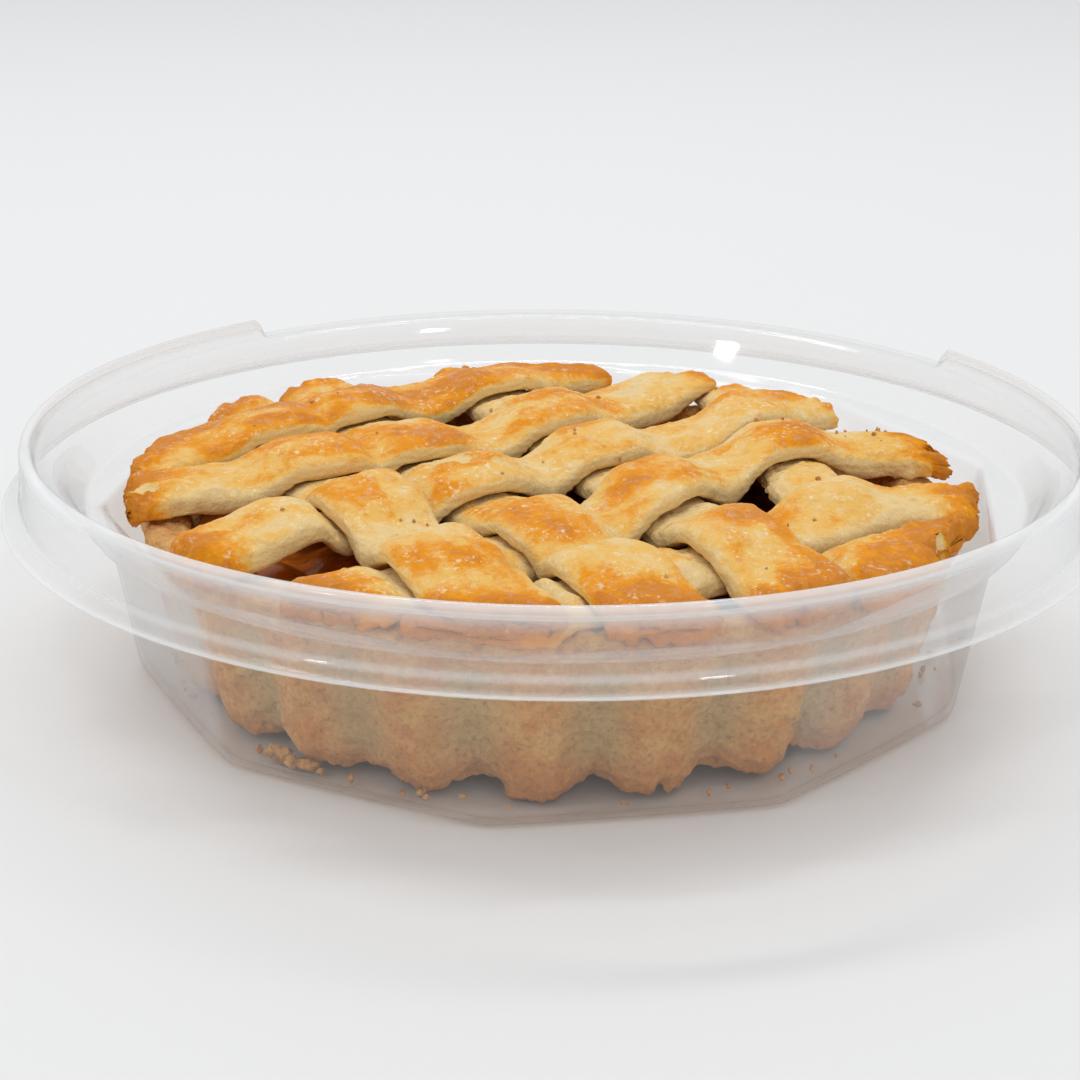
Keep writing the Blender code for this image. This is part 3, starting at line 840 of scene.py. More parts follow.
def case_grid():
    """Rings of the pastry case: lifted underside, fluted wall, round rim and plain cavity.

    A flute follows c = |cos(11 (angle - phase))|^0.8, 1 on its crest and 0 in the sharp valley. The valley
    is then softened: it is d tanh((1 - c) / s) deep, with d its depth and s its softness. The foot is lifted
    off the floor in the valleys, more in some than in others by noise, and its edge is ragged.
    """
    count = FLUTES * FLUTE_COLUMNS
    angles = FLUTE_PHASE + 2.0 * math.pi * np.arange(count) / count
    crest = np.abs(np.cos(0.5 * FLUTES * (angles - FLUTE_PHASE))) ** FLUTE_SHARPNESS
    base = TUB_FLOOR + GAP
    circle = around(angles, SHELL_FOOT_RADIUS, 0.0)
    ragged = FOOT_RAGGED * np.clip(rough(circle, FOOT_RAGGED_SIZE, 15, 4) + 0.1, 0.0, 1.2)
    valley = VALLEY_DEPTH * np.tanh((1.0 - crest) / VALLEY_SOFTNESS)
    crest = 1.0 - valley
    uneven = FOOT_UNEVEN * noise(circle, FOOT_UNEVEN_SIZE, 16)
    underside = base + FOOT_LIFT * (1.0 - FOOT_UNEVEN + uneven) * smoothstep(*FOOT_ARCH, valley) + ragged
    foot = SHELL_FOOT_RADIUS - FOOT_TUCK - FLUTE_DEPTH_FOOT * (1.0 - crest)
    rings = [
        pie_ring(angles, 0.3 * UNDERSIDE_RADIUS, base + FOOT_LIFT),
        pie_ring(angles, UNDERSIDE_RADIUS, base + FOOT_LIFT),
    ]
    for share in np.linspace(*UNDERSIDE_SHARES):
        radius = UNDERSIDE_RADIUS + (foot - UNDERSIDE_RADIUS) * share
        height = base + FOOT_LIFT + (underside - base - FOOT_LIFT) * share ** 2
        rings.append(pie_ring(angles, radius, height))
    for share in WALL_END * np.linspace(0.0, 1.0, WALL_ROWS):
        radius = SHELL_FOOT_RADIUS + (SHELL_RIM_RADIUS - SHELL_FOOT_RADIUS) * share ** WALL_FLARE
        depth = FLUTE_DEPTH_FOOT + (FLUTE_DEPTH_RIM - FLUTE_DEPTH_FOOT) * share
        tuck = FOOT_TUCK * (1.0 - smoothstep(0.0, TUCK_END, share))
        height = underside + (SHELL_TOP - underside) * share
        rings.append(pie_ring(angles, radius - tuck - depth * (1.0 - crest), height, share))
    for share in np.linspace(0.0, 1.0, 10):
        radius = RIM_OUTER_FLAT + (RIM_INNER_FLAT - RIM_OUTER_FLAT) * share
        rings.append(pie_ring(angles, radius, SHELL_TOP, 1.0))
    rings.append(pie_ring(angles, CAVITY_TOP_RADIUS, SHELL_TOP - RIM_ROUND, 1.0))
    for share in np.linspace(0.8, 0.0, 5):
        radius = CAVITY_FOOT_RADIUS + (CAVITY_TOP_RADIUS - CAVITY_FOOT_RADIUS) * share
        height = CAVITY_FLOOR + (SHELL_TOP - RIM_ROUND - CAVITY_FLOOR) * share
        rings.append(pie_ring(angles, radius, height, share))
    rings.append(pie_ring(angles, 0.2 * CAVITY_FOOT_RADIUS, CAVITY_FLOOR))
    return np.array(rings)


def flute_valley_shade(grid):
    """Share of painted shade between the flutes: 1 in a flute's valley and 0 on its crest, |sin(11 (angle -
    phase))|^3.
    """
    turn = np.arctan2(grid[..., 1] - PIE_PLACE[1], grid[..., 0] - PIE_PLACE[0])
    return np.abs(np.sin(0.5 * FLUTES * (turn - FLUTE_PHASE))) ** 3


def case_crumb(grid, height):
    """Crumbly relief of the case along its normals: lumps, fine crumb and open pits."""
    crumb = CASE_LUMP_SHARE * rough(grid, CASE_LUMP, 21) + CASE_CRUMB_SHARE * rough(grid, CASE_CRUMB, 31)
    pits = bubbles(grid, CASE_PIT_SPACING, CASE_PIT_RADIUS, 41, 0.55)
    return height * (crumb - CASE_PIT_SHARE * pits)


def shortcrust(settings):
    """Matte baked crumb with painted shade toward its foot, where it meets the floor, and in its flute
    valleys, and fine pale flour.
    """
    finish = Finish("shortcrust")
    patch = finish.spread(finish.grain(CRUST_PATCHES, 6.0, 0.7), 0.40, 0.62)
    colour = finish.mix(patch, settings.light, settings.baked)
    # Painted shade in the flute valleys
    colour = finish.mix(finish.attribute("valley"), colour, settings.valley)
    # Painted shade toward the foot
    colour = finish.mix(finish.attribute("foot"), colour, settings.foot)
    fine = finish.spread(finish.grain(CRUST_FLOUR, 5.0, 0.7), 0.3, 0.7, 0.58, 1.15)
    colour = finish.mix(1.0, colour, finish.ramp(fine, ((0.0, (0.0,) * 3), (1.0, (1.0,) * 3))), "MULTIPLY")
    finish.set(Base_Color=colour, Roughness=finish.spread(patch, 0.0, 1.0, 0.85, 0.68))
    coarse = finish.relief(CRUST_LUMPS, 5.0, 0.7)
    finish.set(Normal=finish.relief(CRUST_GRAIN, 4.0, 0.7, coarse))
    return finish.made


def chunk_relief(points):
    """Height that the apple pieces add: the highest of t exp(-(d / s)^4) over all pieces.

    d is the distance to a piece's middle, s its size and t its height, all drawn at random.
    """
    draw = np.random.default_rng(CHUNK_SEED)
    radius = 0.95 * CAVITY_TOP_RADIUS * np.sqrt(draw.random(CHUNK_COUNT))
    turn = 2.0 * math.pi * draw.random(CHUNK_COUNT)
    size = CHUNK_RADIUS * draw.uniform(0.7, 1.3, CHUNK_COUNT)
    tall = CHUNK_HEIGHT * draw.uniform(0.4, 1.0, CHUNK_COUNT)
    highest = np.zeros(points.shape[:-1])
    for middle_x, middle_y, spread, height in zip(radius * np.cos(turn), radius * np.sin(turn), size, tall):
        away = np.hypot(points[..., 0] - middle_x, points[..., 1] - middle_y)
        highest = np.maximum(highest, height * np.exp(-(away / spread) ** 4))
    return highest


def filling_grid():
    """Rings of the filling and the height of its lumps: a plain plug below, apple pieces on top."""
    angles = 2.0 * math.pi * np.arange(FILLING_COLUMNS) / FILLING_COLUMNS
    slope = (CAVITY_TOP_RADIUS - CAVITY_FOOT_RADIUS) / (SHELL_TOP - RIM_ROUND - CAVITY_FLOOR)
    inset = 2.0 * GAP
    edge = CAVITY_FOOT_RADIUS + slope * (FILLING_TOP - CAVITY_FLOOR) - inset
    rings = [pie_ring(angles, CAVITY_FOOT_RADIUS - inset, CAVITY_FLOOR + GAP)]
    lumps = [np.zeros(FILLING_COLUMNS)]
    for share in np.linspace(1.0, FILLING_INNER_SHARE, FILLING_RINGS):
        lump = chunk_relief(around(angles, edge * share, 0.0)) * smoothstep(1.0, 0.88, share)
        rings.append(pie_ring(angles, edge * share, FILLING_TOP + lump, share))
        lumps.append(lump)
    return np.array(rings), np.array(lumps)


def cooked_apple(settings):
    """Wet red-brown fruit: the dark juice is partly its own colour and partly painted shade, and the lighter
    lumps and edge are partly the apple's own colour and partly painted light.
    """
    finish = Finish("cooked_apple")
    cloud = finish.spread(finish.grain(APPLE_PATCHES), 0.3, 0.7, 0.35, 1.0)
    patch = finish.sum("MULTIPLY", finish.attribute("lump"), cloud)
    finish.set(
        Base_Color=finish.mix(patch, settings.juice_and_shade, settings.lit), Roughness=0.35, Specular_IOR_Level=0.15,
        Coat_Weight=0.15, Coat_Roughness=0.12)
    finish.set(Normal=finish.relief(APPLE_GRAIN, 4.0))
    return finish.made


class Strip:
    """One pastry strip: a curved run in plan, over the strips laid before it that it crosses."""

    def __init__(self, name, start, end, bow, lean, width, run, browning, start_crumb, end_crumb):
        self.name = name
        self.family = name.split("_")[1]
        self.start = rim_point(start)
        self.end = rim_point(end)
        self.bow = bow
        self.lean = lean
        self.width = width
        self.run = run
        self.browning = browning
        self.crumb = (start_crumb, end_crumb)
        self.length = np.linalg.norm(self.end - self.start)
        self.trim = TRIM_REACH / self.length
        self.over = []
        self.under = []

    def place(self, shares):
        """Plan position of the run at each share of its chord: the chord with a sine bow to its left."""
        chord = self.end - self.start
        side = np.array([-chord[1], chord[0]]) / np.linalg.norm(chord)
        bow = np.sin(math.pi * np.clip(shares, 0.0, 1.0) ** self.lean)
        bow = bow - math.pi * self.lean * np.maximum(shares - 1.0, 0.0)
        bow = bow + math.pi * (self.lean == 1.0) * np.minimum(shares, 0.0)
        return self.start + shares[..., None] * chord + (self.bow * bow)[..., None] * side

    def across(self, shares):
        """Unit vector square to the run, pointing to its left."""
        step = 0.1 * self.trim
        along = self.place(shares + step) - self.place(shares - step)
        along = along / np.linalg.norm(along, axis=-1)[..., None]
        return np.stack([-along[..., 1], along[..., 0]], axis=-1)

    def reach(self):
        """First and last share that the strip can reach: past the rim's circle, or its own cut end."""
        first = -self.trim if self.run[0] == 0.0 else self.run[0]
        last = 1.0 + self.trim if self.run[1] == 1.0 else self.run[1]
        return first, last

    def ends(self, offsets):
        """Shares at which the lines at these offsets across the strip meet the circle that trims it.

        They are read from a few lines, between which they change evenly.
        """
        first, last = self.reach()
        lines = np.linspace(-0.5 * self.width, 0.5 * self.width, TRIM_LINES)
        shares = np.linspace(first, last, TRIM_SAMPLES)
        points = self.place(shares)[:, None, :] + lines[None, :, None] * self.across(shares)[:, None, :]
        turn = np.arctan2(points[:, :, 1], points[:, :, 0])
        inside = np.linalg.norm(points, axis=2) <= STRIP_END_RADIUS - short(turn)
        crosses = np.any(inside, axis=0)
        starts = np.where(crosses, shares[np.argmax(inside, axis=0)], 1.0)
        stops = np.where(crosses, shares[TRIM_SAMPLES - 1 - np.argmax(inside[::-1], axis=0)], 0.0)
        starts = np.minimum(starts, self.trim) if self.run[0] == 0.0 else np.full_like(starts, first)
        stops = np.maximum(stops, 1.0 - self.trim) if self.run[1] == 1.0 else np.full_like(stops, last)
        return np.interp(offsets, lines, starts), np.interp(offsets, lines, stops)

    def beside(self, points):
        """Distance of each plan point beyond the strip's edge, negative on the strip."""
        run = self.place(np.linspace(*self.reach(), CROSSING_SAMPLES)).astype(np.float32)
        flat = points.astype(np.float32)
        nearest = np.full(len(flat), np.inf, np.float32)
        for place in run:
            nearest = np.minimum(nearest, (flat[:, 0] - place[0]) ** 2 + (flat[:, 1] - place[1]) ** 2)
        return np.sqrt(nearest) - 0.5 * self.width

    def hump(self, points):
        """How far one strip arches up off the rim: a bell curve along its chord."""
        chord = (self.end - self.start) / self.length
        away = (points - self.start) @ chord - HUMP_PLACE
        return (self.name == HUMP_STRIP) * HUMP_HEIGHT * np.exp(-(away / HUMP_REACH) ** 2)

    def crossing(self, points, others, start, end):
        """1 where a plan point is on one of the other strips, falling to 0 from start to end beside it."""
        share = np.zeros(len(points))
        for other in others:
            share = np.maximum(share, 1.0 - smoothstep(start, end, other.beside(points)))
        return share


def rim_point(degrees):
    """Plan point on the circle where the strips' full width ends."""
    angle = math.radians(degrees)
    return STRIP_END_RADIUS * np.array([math.cos(angle), math.sin(angle)])


def section_outline(width, thickness, count):
    """Section of a strip, -1 to 1 both ways, with points evenly along its outline.

    It is widest at its belly. Above, it is a dome |x|^n + h^n = 1, with h the share of the height left;
    below, it is the same with a higher n, nearly square.
    """
    turn = np.linspace(0.0, 2.0 * math.pi, 4001)
    upper = np.sin(turn) >= 0.0
    power = 2.0 / np.where(upper, DOME_POWER, SOLE_POWER)
    x = np.sign(np.cos(turn)) * np.abs(np.cos(turn)) ** power
    rise = np.abs(np.sin(turn)) ** power
    z = BELLY + np.where(upper, (1.0 - BELLY) * rise, -(1.0 + BELLY) * rise)
    step = np.hypot(np.diff(x) * width, np.diff(z) * thickness)
    along = np.concatenate([[0.0], np.cumsum(step)])
    even = along[-1] * (np.arange(count) + 0.5) / count
    return np.interp(even, along, x), np.interp(even, along, z)


def strip_grid(strip):
    """Points along and round a strip, with what its relief and its colours need.

    Row by row a section runs along the strip. Its height is the underside, which rises over the strips
    below and arches at the hump, plus half the thickness times one plus the section's own height. The rows
    past each end close it with a quarter circle. The ends are ragged, more where they are crumbly, and
    droop beyond the case's rim. The oven has spread the strip a little past its width.
    """
    spread = OVEN_SPREAD * strip.width
    across, rise = section_outline(spread, STRIP_THICKNESS, SECTION_POINTS)
    rows = int(strip.length * (strip.run[1] - strip.run[0]) / ROW_SPACING)
    reach = np.sin(0.5 * math.pi * np.arange(1, CAP_ROWS + 1) / (CAP_ROWS + 0.6))
    step = np.concatenate([np.zeros(CAP_ROWS), np.linspace(0.0, 1.0, rows), np.ones(CAP_ROWS)])
    beyond = STRIP_CAP * np.concatenate([-reach[::-1], np.zeros(rows), reach])
    shrink = np.sqrt(1.0 - (beyond / STRIP_CAP) ** 2)
    width = CAP_WIDTH + (1.0 - CAP_WIDTH) * shrink
    offsets = -0.5 * spread * width[:, None] * across[None, :]
    starts, stops = strip.ends(offsets)
    line = offsets[..., None] * np.array([1.0, 0.0, 0.0])
    torn = RAGGED_END * np.abs(rough(line, RAGGED_END_SIZE, len(strip.over), 4))
    starts = starts + (RAGGED_ANYWAY + strip.crumb[0]) * torn / strip.length
    stops = stops - (RAGGED_ANYWAY + strip.crumb[1]) * torn / strip.length
    shares = starts + (stops - starts) * step[:, None]
    side = strip.across(shares)
    along = np.stack([side[..., 1], -side[..., 0]], axis=-1)
    plan = strip.place(shares) + offsets[..., None] * side + beyond[:, None, None] * along
    flat = plan.reshape(-1, 2)
    over = strip.crossing(flat, strip.over, DRAPE_START, DRAPE_END).reshape(offsets.shape)
    under = strip.crossing(flat, strip.under, PRESS_START, PRESS_END).reshape(offsets.shape)
    radius = np.linalg.norm(plan, axis=-1)
    squeeze = 1.0 - RIM_SQUEEZE * smoothstep(SQUEEZE_START, SQUEEZE_END, radius)
    pressed = squeeze * PRESSED_THICKNESS
    sag = STRIP_SAG * smoothstep(SAG_START_RADIUS, SAG_END_RADIUS, radius)
    underside = SHELL_TOP + GAP + STRIP_LIFT - sag - fall(plan) + over * (pressed + DRAPE_GAP)
    underside = underside + (1.0 - under) * strip.hump(plan)
    droop = END_DROOP * smoothstep(DROOP_START, DROOP_END, radius)
    thickness = STRIP_THICKNESS - over * (STRIP_THICKNESS - squeeze * OVER_THICKNESS)
    thickness = thickness - under * (thickness - pressed) + droop
    height = underside - droop + 0.5 * thickness * (1.0 + shrink[:, None] * rise)
    grid = np.concatenate([plan, height[..., None]], axis=-1) + PIE_PLACE
    first, last = strip.reach()
    return grid, {
        "streak": np.stack([shares * strip.length, offsets, grid[..., 2]], axis=-1),
        "over": over,
        "under": under,
        "radius": radius,
        "first": np.exp(-((shares - first) * strip.length / CRUMBLY_REACH) ** 2),
        "last": np.exp(-((last - shares) * strip.length / CRUMBLY_REACH) ** 2),
        "edge": np.broadcast_to(np.abs(across), over.shape),
        "rise": np.broadcast_to(rise, over.shape),
    }


def strip_relief(grid, normals, facts, strip, ripple, seed):
    """Relief of a strip along its normals, its blisters and how crumbly it is.

    Soft lumps and streaks all over, a finer ripple and round blisters on top, thin layers along the cut
    sides, and crumbly lumps toward the ends.
    """
    top = smoothstep(0.25, 0.8, normals[..., 2])
    blisters = bubbles(grid, BLISTER_SPACING, BLISTER_RADIUS, seed + 50, 0.5) * top
    small = bubbles(grid, SMALL_BLISTER_SPACING, SMALL_BLISTER_RADIUS, seed + 60, 0.4) * top
    bend = 0.8 * noise(grid, LAYER_WANDER, seed + 70)
    layers = np.sin(2.0 * math.pi * (grid[..., 2] / LAYER_THICKNESS + bend))
    crumb = strip.crumb[0] * facts["first"] + strip.crumb[1] * facts["last"]
    streak = facts["streak"] * STREAK
    height = LUMP_SHARE * noise(grid, STRIP_LUMP, seed)
    height = height + COARSE_SHARE * rough(streak, STREAK_COARSE, seed + 10, 2)
    height = height + FINE_SHARE * rough(streak, STREAK_FINE, seed + 20, 2) * top
    height = height + blisters + SMALL_BLISTER_SHARE * small + LAYER_SHARE * layers * (1.0 - top)
    height = height + END_CRUMB_SHARE * crumb * rough(grid, END_CRUMB_SIZE, seed + 80, 4)
    return ripple * height, blisters, crumb


def flake_mask(grid, strip, seed):
    """1 inside a strip's torn flakes and 0 outside: an oval whose outline wanders by noise."""
    mask = np.zeros(grid.shape[:2])
    wander = 0.45 * rough(grid, FLAKE_WANDER, seed + 40, 3)
    for name, middle, size in FLAKES:
        if name == strip.name:
            away = np.hypot((grid[..., 0] - middle[0]) / size[0], (grid[..., 1] - middle[1]) / size[1])
            mask = np.maximum(mask, 1.0 - smoothstep(0.88, 1.0, away + wander))
    return mask


def strip_browning(grid, normals, facts, strip, crumb, seed):
    """How brown each point of a strip is, 0 to 1.

    Crests over other strips and the ends brown most; what lies in a neighbour's shelter stays pale, and the
    cut sides do too, less toward the rim. Broad patches and streaks of noise make it uneven.
    """
    top = smoothstep(0.1, 0.85, normals[..., 2])
    end = smoothstep(*END_RADII, facts["radius"])
    streak = facts["streak"] * STREAK
    brown = strip.browning - BROWN_LESS + BROWN_OVER * facts["over"]
    brown = brown - PALE_UNDER * facts["under"] * (1.0 - end)
    brown = brown + BROWN_PATCH * noise(grid, BROWN_PATCH_SIZE, seed + 90)
    brown = brown + BROWN_STREAK * rough(streak, BROWN_STREAK_SIZE, seed + 95, 3)
    brown = brown + BROWN_END * end + BROWN_CRUMB * crumb
    brown = brown - PALE_EDGE * smoothstep(0.70, 1.0, facts["edge"]) * (1.0 - end)
    side = SIDE_SHARE + SIDE_GAIN * smoothstep(*SIDE_RADII, facts["radius"])
    return np.clip(brown * (side + (1.0 - side) * np.maximum(top, end)), 0.0, 1.0)


def glazed_pastry(settings):
    """Egg-washed pastry: pale to brown by the strip's own browning, glossy on top and matte at the sides.

    Blisters are redder, and the glaze holds brown flecks and groups of pale specks, partly pale dough and
    partly painted highlights of its sheen. Its shine is patchy.
    """
    finish = Finish("glazed_pastry")
    glaze = finish.attribute("glaze")
    uneven = finish.spread(finish.grain(GLAZE_PATCHES, 5.0, 0.65), 0.25, 0.75, -0.16, 0.16)
    streaks = finish.spread(finish.grain(GLAZE_STREAKS, 4.0, 0.7), 0.3, 0.7, -0.09, 0.09)
    baked = finish.sum("ADD", finish.sum("ADD", finish.attribute("browning"), uneven), streaks)
    colour = finish.ramp(baked, (
        (0.02, settings.pale), (0.24, settings.yellow), (0.48, settings.golden), (0.80, settings.orange),
        (1.0, settings.brown)))
    spot = finish.spread(finish.grain(GLAZE_SPOTS, 4.0, 0.7), 0.50, 0.72)
    red = finish.sum("MULTIPLY", finish.attribute("blister"), finish.spread(spot, 0.0, 1.0, 0.35, 0.85))
    colour = finish.mix(red, colour, settings.blister)
    fleck = finish.spread(finish.grain(GLAZE_FLECKS, 3.0, 0.7), 0.66, 0.74, 0.0, 0.35)
    colour = finish.mix(finish.sum("MULTIPLY", fleck, glaze), colour, settings.brown)
    # Groups of pale specks: partly pale dough and partly painted highlights of the glaze's sheen
    group = finish.spread(finish.grain(GLAZE_HIGHLIGHT_GROUPS, 2.0), 0.46, 0.60)
    highlight_dot = finish.spread(finish.grain(GLAZE_HIGHLIGHT_SPECKS, 3.0, 0.6), 0.56, 0.66, 0.0, 0.75)
    specks = finish.sum("MULTIPLY", highlight_dot, group)
    colour = finish.mix(finish.sum("MULTIPLY", specks, glaze), colour, settings.speck_highlight)
    shine = finish.spread(finish.grain(GLAZE_SHINE, 3.0), 0.53, 0.62, 0.0, 0.8)
    finish.set(
        Base_Color=colour, Roughness=finish.spread(glaze, 0.0, 1.0, 0.75, 0.42), Specular_IOR_Level=0.03,
        Coat_Weight=finish.sum("MULTIPLY", glaze, shine), Coat_Roughness=0.15, Coat_IOR=1.4)
    coarse = finish.relief(PASTRY_LUMPS, 4.0, 0.6)
    finish.set(Normal=finish.relief(PASTRY_GRAIN, 3.0, 0.6, coarse))
    dents = finish.relief(GLAZE_DENTS, 2.0, 0.5)
    finish.set(Coat_Normal=finish.relief(GLAZE_GRAIN, 2.0, 0.5, dents))
    return finish.made


def lattice_strips():
    """Lay the strips one by one: each is over the strips of the other direction laid before it."""
    laid = []
    for row in STRIPS:
        strip = Strip(*row)
        strip.over = [other for other in laid if other.family != strip.family]
        for other in strip.over:
            other.under.append(strip)
        laid.append(strip)
    return laid


def crumb_points(middles, sizes, draw):
    """Points and faces of many small uneven lumps: spheres of a few rows, pushed in and out at random."""
    turn = 2.0 * math.pi * np.arange(CRUMB_COLUMNS) / CRUMB_COLUMNS
    tilt = math.pi * (np.arange(CRUMB_ROWS) + 0.5) / CRUMB_ROWS
    ball = around(turn, np.sin(tilt)[:, None], np.cos(tilt)[:, None]).reshape(-1, 3)
    ball = np.concatenate([ball, [[0.0, 0.0, 1.0], [0.0, 0.0, -1.0]]])
    uneven = 1.0 + 0.28 * draw.standard_normal((len(middles), len(ball), 1)).clip(-1.5, 1.5)
    flatten = draw.uniform(0.55, 1.0, (len(middles), 1, 3))
    points = middles[:, None, :] + sizes[:, None, None] * flatten * uneven * ball[None]
    quads, fans = ring_faces(CRUMB_ROWS, CRUMB_COLUMNS)
    shift = len(ball) * np.arange(len(middles))[:, None, None]
    quads = (quads[None, :, (0, 3, 2, 1)] + shift).reshape(-1, 4)
    fans = (fans[None, :, (0, 2, 1)] + shift).reshape(-1, 3)
    return points.reshape(-1, 3), quads, fans


class PIE_OT_tub(bpy.types.Operator):
    """Make the clear tub"""

    bl_idname = "pie.tub"
    bl_label = "Tub"

    def execute(self, context):
        settings = context.scene.pie_tub
        angles = 2.0 * math.pi * np.arange(TUB_COLUMNS) / TUB_COLUMNS
        rings = rounded_profile(tub_profile(angles, settings.wall), TUB_ROUNDING, TUB_ROUNDING_STEPS)
        mesh = closed_mesh("clear_tub", around(angles, rings[..., 0], rings[..., 1]))
        store_rows(mesh, "milky", milky_edges(rings))
        add_piece("clear_tub", mesh, clear_plastic(settings), "clear_plastic", "tub")
        return {"FINISHED"}


class PIE_OT_case(bpy.types.Operator):
    """Make the fluted pastry case"""

    bl_idname = "pie.case"
    bl_label = "Pastry case"

    def execute(self, context):
        settings = context.scene.pie_crust
        grid = case_grid()
        outside = smoothstep(0.0, 0.3, np.linalg.norm(grid[..., :2], axis=-1) / SHELL_FOOT_RADIUS - 0.6)
        grid = grid + grid_normals(grid) * (outside * case_crumb(grid, settings.crumb_height))[..., None]
        mesh = closed_mesh("fluted_case", grid)
        # Share of painted shade toward the foot of the case, where it meets the floor
        uneven = FOOT_SHADE_WANDER * noise(grid, FOOT_SHADE_SIZE, 45)
        store_rows(mesh, "foot", 1.0 - smoothstep(*FOOT_SHADE, grid[..., 2] + uneven))
        # Painted shade between the flutes, on the wall below the rim
        store_rows(mesh, "valley", flute_valley_shade(grid) * (1.0 - smoothstep(*VALLEY_SHADE_END, grid[..., 2])))
        add_piece("fluted_case", mesh, shortcrust(settings), "baked_crust", "pastry_shell")
        return {"FINISHED"}


class PIE_OT_filling(bpy.types.Operator):
    """Make the cooked apple"""

    bl_idname = "pie.filling"
    bl_label = "Filling"

    def execute(self, context):
        grid, lumps = filling_grid()
        wet = smoothstep(0.0, WET_DEPTH, grid[..., 2] - FILLING_TOP + WET_DEPTH)
        grid = grid + grid_normals(grid) * (WET_RELIEF * wet * rough(grid, WET_RELIEF_SIZE, 55))[..., None]
        mesh = closed_mesh("cooked_apple", grid)
        # Share of painted light on the lumps and toward the rim, over the apple pieces' own lighter colour
        lit_edge = smoothstep(*LIT_EDGE, np.linalg.norm(grid[..., :2], axis=-1))
        store_rows(mesh, "lump", np.clip(0.6 * smoothstep(0.0, CHUNK_HEIGHT, lumps) + lit_edge, 0.0, 1.0))
        finish = cooked_apple(context.scene.pie_filling)
        add_piece("cooked_apple", mesh, finish, "cooked_apple", "apple_filling")
        return {"FINISHED"}


class PIE_OT_lattice(bpy.types.Operator):
    """Make the glazed strips of the lattice"""

    bl_idname = "pie.lattice"
    bl_label = "Lattice"

    def execute(self, context):
        settings = context.scene.pie_lattice
        finish = glazed_pastry(settings)
        for number, strip in enumerate(lattice_strips()):
            seed = 100 * (number + 1)
            grid, facts = strip_grid(strip)
            normals = grid_normals(grid)
            if np.mean(normals[..., 2] * facts["rise"]) < 0.0:
                normals = -normals
            relief, blisters, crumb = strip_relief(grid, normals, facts, strip, settings.ripple, seed)
            top = smoothstep(0.1, 0.7, normals[..., 2])
            torn = flake_mask(grid, strip, seed)
            relief = relief - FLAKE_DEPTH * torn * (1.0 + 0.5 * rough(grid, FLAKE_GRAIN, seed + 45, 2))
            browning = strip_browning(grid, normals, facts, strip, crumb, seed)
            mesh = closed_mesh(strip.name, grid + normals * relief[..., None])
            store_rows(mesh, "browning", browning * (1.0 - FLAKE_PALING * torn))
            store_rows(mesh, "blister", blisters * (1.0 - torn))
            store_rows(mesh, "glaze", top * (1.0 - 0.7 * np.clip(crumb, 0.0, 1.0)) * (1.0 - torn))
            add_piece("glazed_" + strip.name, mesh, finish, "glazed_pastry", strip.name)
        return {"FINISHED"}


def lying_places(count, draw):
    """Points on the lattice where crumbs lie: a third of them on its browned end, the rest anywhere.

    The height is read from the strips' own points, from the highest one near each place.
    """
    turn = draw.uniform(-math.pi, math.pi, count)
    radius = TOP_CRUMB_REACH * np.sqrt(draw.random(count))
    plan = around(turn, radius, 0.0)[:, :2]
    near = draw.normal(0.0, CRUMBLY_SPREAD, (count, 2)) + np.array(CRUMBLY_PLACE)
    plan = np.where((np.arange(count) % 3 == 0)[:, None], near, plan)
    strips = [piece for piece in bpy.data.objects if piece.name.startswith("glazed_strip")]
    points = []
    for piece in strips:
        found = np.empty(3 * len(piece.data.vertices), np.float32)
        piece.data.vertices.foreach_get("co", found)
        points.append(found.reshape(-1, 3))
    points = np.concatenate(points)
    places = []
    for spot in plan:
        close = points[np.hypot(points[:, 0] - spot[0], points[:, 1] - spot[1]) < CRUMB_REACH]
        if len(close):
            places.append((*spot, close[:, 2].max()))
        else:
            places.append((*floor_spot(spot), TUB_FLOOR + CRUMB_SIZE))
    return np.array(places)


def floor_spot(spot):
    """The same direction from the middle, out on the tub's floor beside the pie."""
    return np.asarray(spot) / np.linalg.norm(spot) * FLOOR_CRUMB_RADIUS


class PIE_OT_crumbs(bpy.types.Operator):
    """Scatter loose crumbs in the tub and on the pie"""

    bl_idname = "pie.crumbs"
    bl_label = "Crumbs"

    def execute(self, context):
        settings = context.scene.pie_crumbs
        draw = np.random.default_rng(CRUMB_SEED)
        turn = draw.uniform(-math.pi, math.pi, settings.floor_count)
        radius = draw.uniform(*FLOOR_CRUMB_RING, settings.floor_count)
        size = settings.size * draw.uniform(*FLOOR_CRUMB_SIZES, settings.floor_count)
        floor = around(turn, radius, TUB_FLOOR + CRUMB_REST * size)
        top_size = settings.size * draw.uniform(*TOP_CRUMB_SIZES, settings.top_count)
        top = lying_places(settings.top_count, draw)
        chip_turn = np.linspace(CHIP_START, CHIP_END, CHIP_LUMPS)
        chip_size = CHIP_SIZE * draw.uniform(*CHIP_SIZES, CHIP_LUMPS)
        chip_radius = CHIP_RADIUS + CHIP_SCATTER * CHIP_SIZE * draw.uniform(-1.0, 1.0, CHIP_LUMPS)
        chip = around(chip_turn, chip_radius, TUB_FLOOR + CHIP_REST * chip_size)
        points, quads, fans = crumb_points(
            np.concatenate([floor, top, chip]), np.concatenate([size, top_size, chip_size]), draw)
        mesh = mesh_from_faces("crumbs", points, quads, fans)
        add_piece("crumbs", mesh, shortcrust(context.scene.pie_crust), "baked_crust")
        return {"FINISHED"}


def soft_light(name, place, size, power, colour):
    """Area light of a width and a depth that faces the pie."""
    lamp = bpy.data.lights.new(name, "AREA")
    lamp.shape = "RECTANGLE"
    lamp.size, lamp.size_y = size
    lamp.energy = power
    lamp.color = colour
    light = bpy.data.objects.new(name, lamp)
    light.location = place
    light.rotation_euler = (Vector(LIGHT_TARGET) - Vector(place)).to_track_quat("-Z", "Y").to_euler()
    bpy.context.scene.collection.objects.link(light)


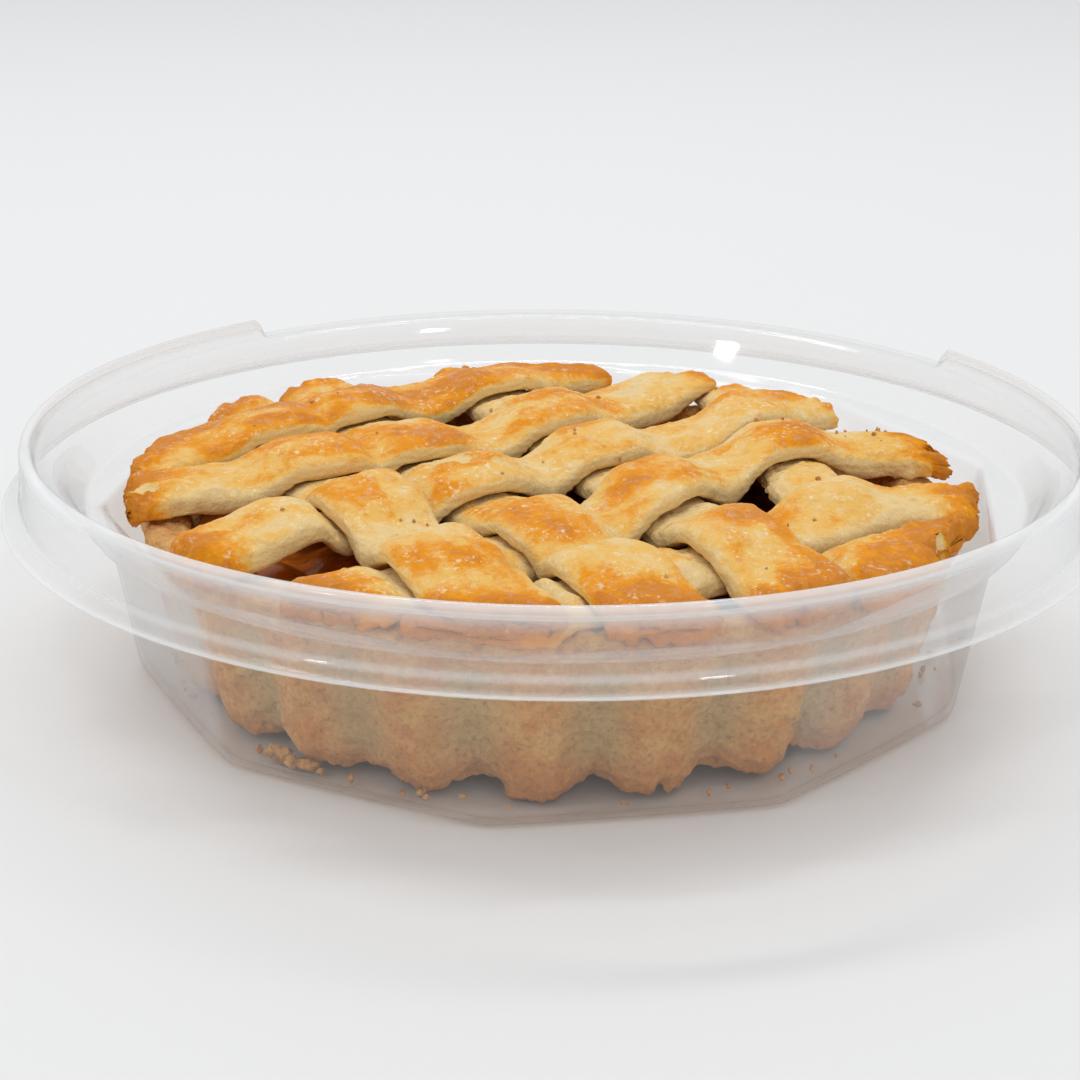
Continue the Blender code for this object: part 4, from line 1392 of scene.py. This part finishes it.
class PIE_OT_stage(bpy.types.Operator):
    """Make the pale floor, the soft lights and the camera"""

    bl_idname = "pie.stage"
    bl_label = "Stage"

    def execute(self, context):
        settings = context.scene.pie_stage
        turn = 2.0 * math.pi * np.arange(FLOOR_SIDES) / FLOOR_SIDES
        mesh = bpy.data.meshes.new("pale_floor")
        mesh.from_pydata(around(turn, FLOOR_RADIUS, -FLOOR_DROP).tolist(), [], [list(range(FLOOR_SIDES))])
        paper = Finish("pale_paper")
        paper.set(Base_Color=(*settings.floor, 1.0), Roughness=0.6)
        mesh.materials.append(paper.made)
        floor = bpy.data.objects.new("pale_floor", mesh)
        context.scene.collection.objects.link(floor)
        for name, place, size, power, colour in LIGHTS:
            soft_light(name, place, size, getattr(settings, power), colour)
        sky = bpy.data.worlds.new("studio")
        sky.use_nodes = True
        sky.node_tree.nodes["Background"].inputs["Color"].default_value = SKY_COLOUR
        sky.node_tree.nodes["Background"].inputs["Strength"].default_value = settings.sky
        context.scene.world = sky
        context.scene.view_settings.view_transform = "Standard"
        context.scene.cycles.transparent_max_bounces = SEE_THROUGH_FACES
        self.add_camera(context)
        return {"FINISHED"}

    def add_camera(self, context):
        """Camera from its place, pitch, yaw and roll, with a square frame."""
        forward = Vector((
            math.sin(CAMERA_YAW) * math.cos(CAMERA_PITCH), math.cos(CAMERA_YAW) * math.cos(CAMERA_PITCH),
            -math.sin(CAMERA_PITCH)))
        level = Vector((math.cos(CAMERA_YAW), -math.sin(CAMERA_YAW), 0.0))
        above = level.cross(forward)
        right = math.cos(CAMERA_ROLL) * level - math.sin(CAMERA_ROLL) * above
        up = math.sin(CAMERA_ROLL) * level + math.cos(CAMERA_ROLL) * above
        lens = bpy.data.cameras.new("camera")
        lens.sensor_width = SENSOR
        lens.lens = SENSOR * CAMERA_FOCUS
        lens.clip_start = 0.01
        camera = bpy.data.objects.new("camera", lens)
        turned = Matrix((right, up, -forward)).transposed().to_4x4()
        camera.matrix_world = Matrix.Translation(CAMERA_PLACE) @ turned
        context.scene.collection.objects.link(camera)
        context.scene.camera = camera


class PIE_PT_panel(bpy.types.Panel):
    """Sizes and colours of the pie, with a button for each of its pieces"""

    bl_label = "Lattice pie"
    bl_idname = "PIE_PT_panel"
    bl_space_type = "VIEW_3D"
    bl_region_type = "UI"
    bl_category = "Pie"

    def draw(self, context):
        for attribute, group, operator in SECTIONS:
            box = self.layout.box()
            box.operator(operator.bl_idname)
            settings = getattr(context.scene, attribute)
            for name in group.__annotations__:
                box.prop(settings, name)


SECTIONS = (
    ("pie_tub", PieTubSettings, PIE_OT_tub),
    ("pie_crust", PieCrustSettings, PIE_OT_case),
    ("pie_filling", PieFillingSettings, PIE_OT_filling),
    ("pie_lattice", PieLatticeSettings, PIE_OT_lattice),
    ("pie_crumbs", PieCrumbSettings, PIE_OT_crumbs),
    ("pie_stage", PieStageSettings, PIE_OT_stage),
)


def register():
    """Register the settings, the operators and the panel."""
    for attribute, group, operator in SECTIONS:
        bpy.utils.register_class(group)
        bpy.utils.register_class(operator)
        setattr(bpy.types.Scene, attribute, PointerProperty(type=group))
    bpy.utils.register_class(PIE_PT_panel)


def unregister():
    """Take them off again."""
    bpy.utils.unregister_class(PIE_PT_panel)
    for attribute, group, operator in reversed(SECTIONS):
        delattr(bpy.types.Scene, attribute)
        bpy.utils.unregister_class(operator)
        bpy.utils.unregister_class(group)


def main():
    """Make every piece and the stage."""
    register()
    bpy.ops.pie.tub()
    bpy.ops.pie.case()
    bpy.ops.pie.filling()
    bpy.ops.pie.lattice()
    bpy.ops.pie.crumbs()
    bpy.ops.pie.stage()


if __name__ == "__main__":
    main()
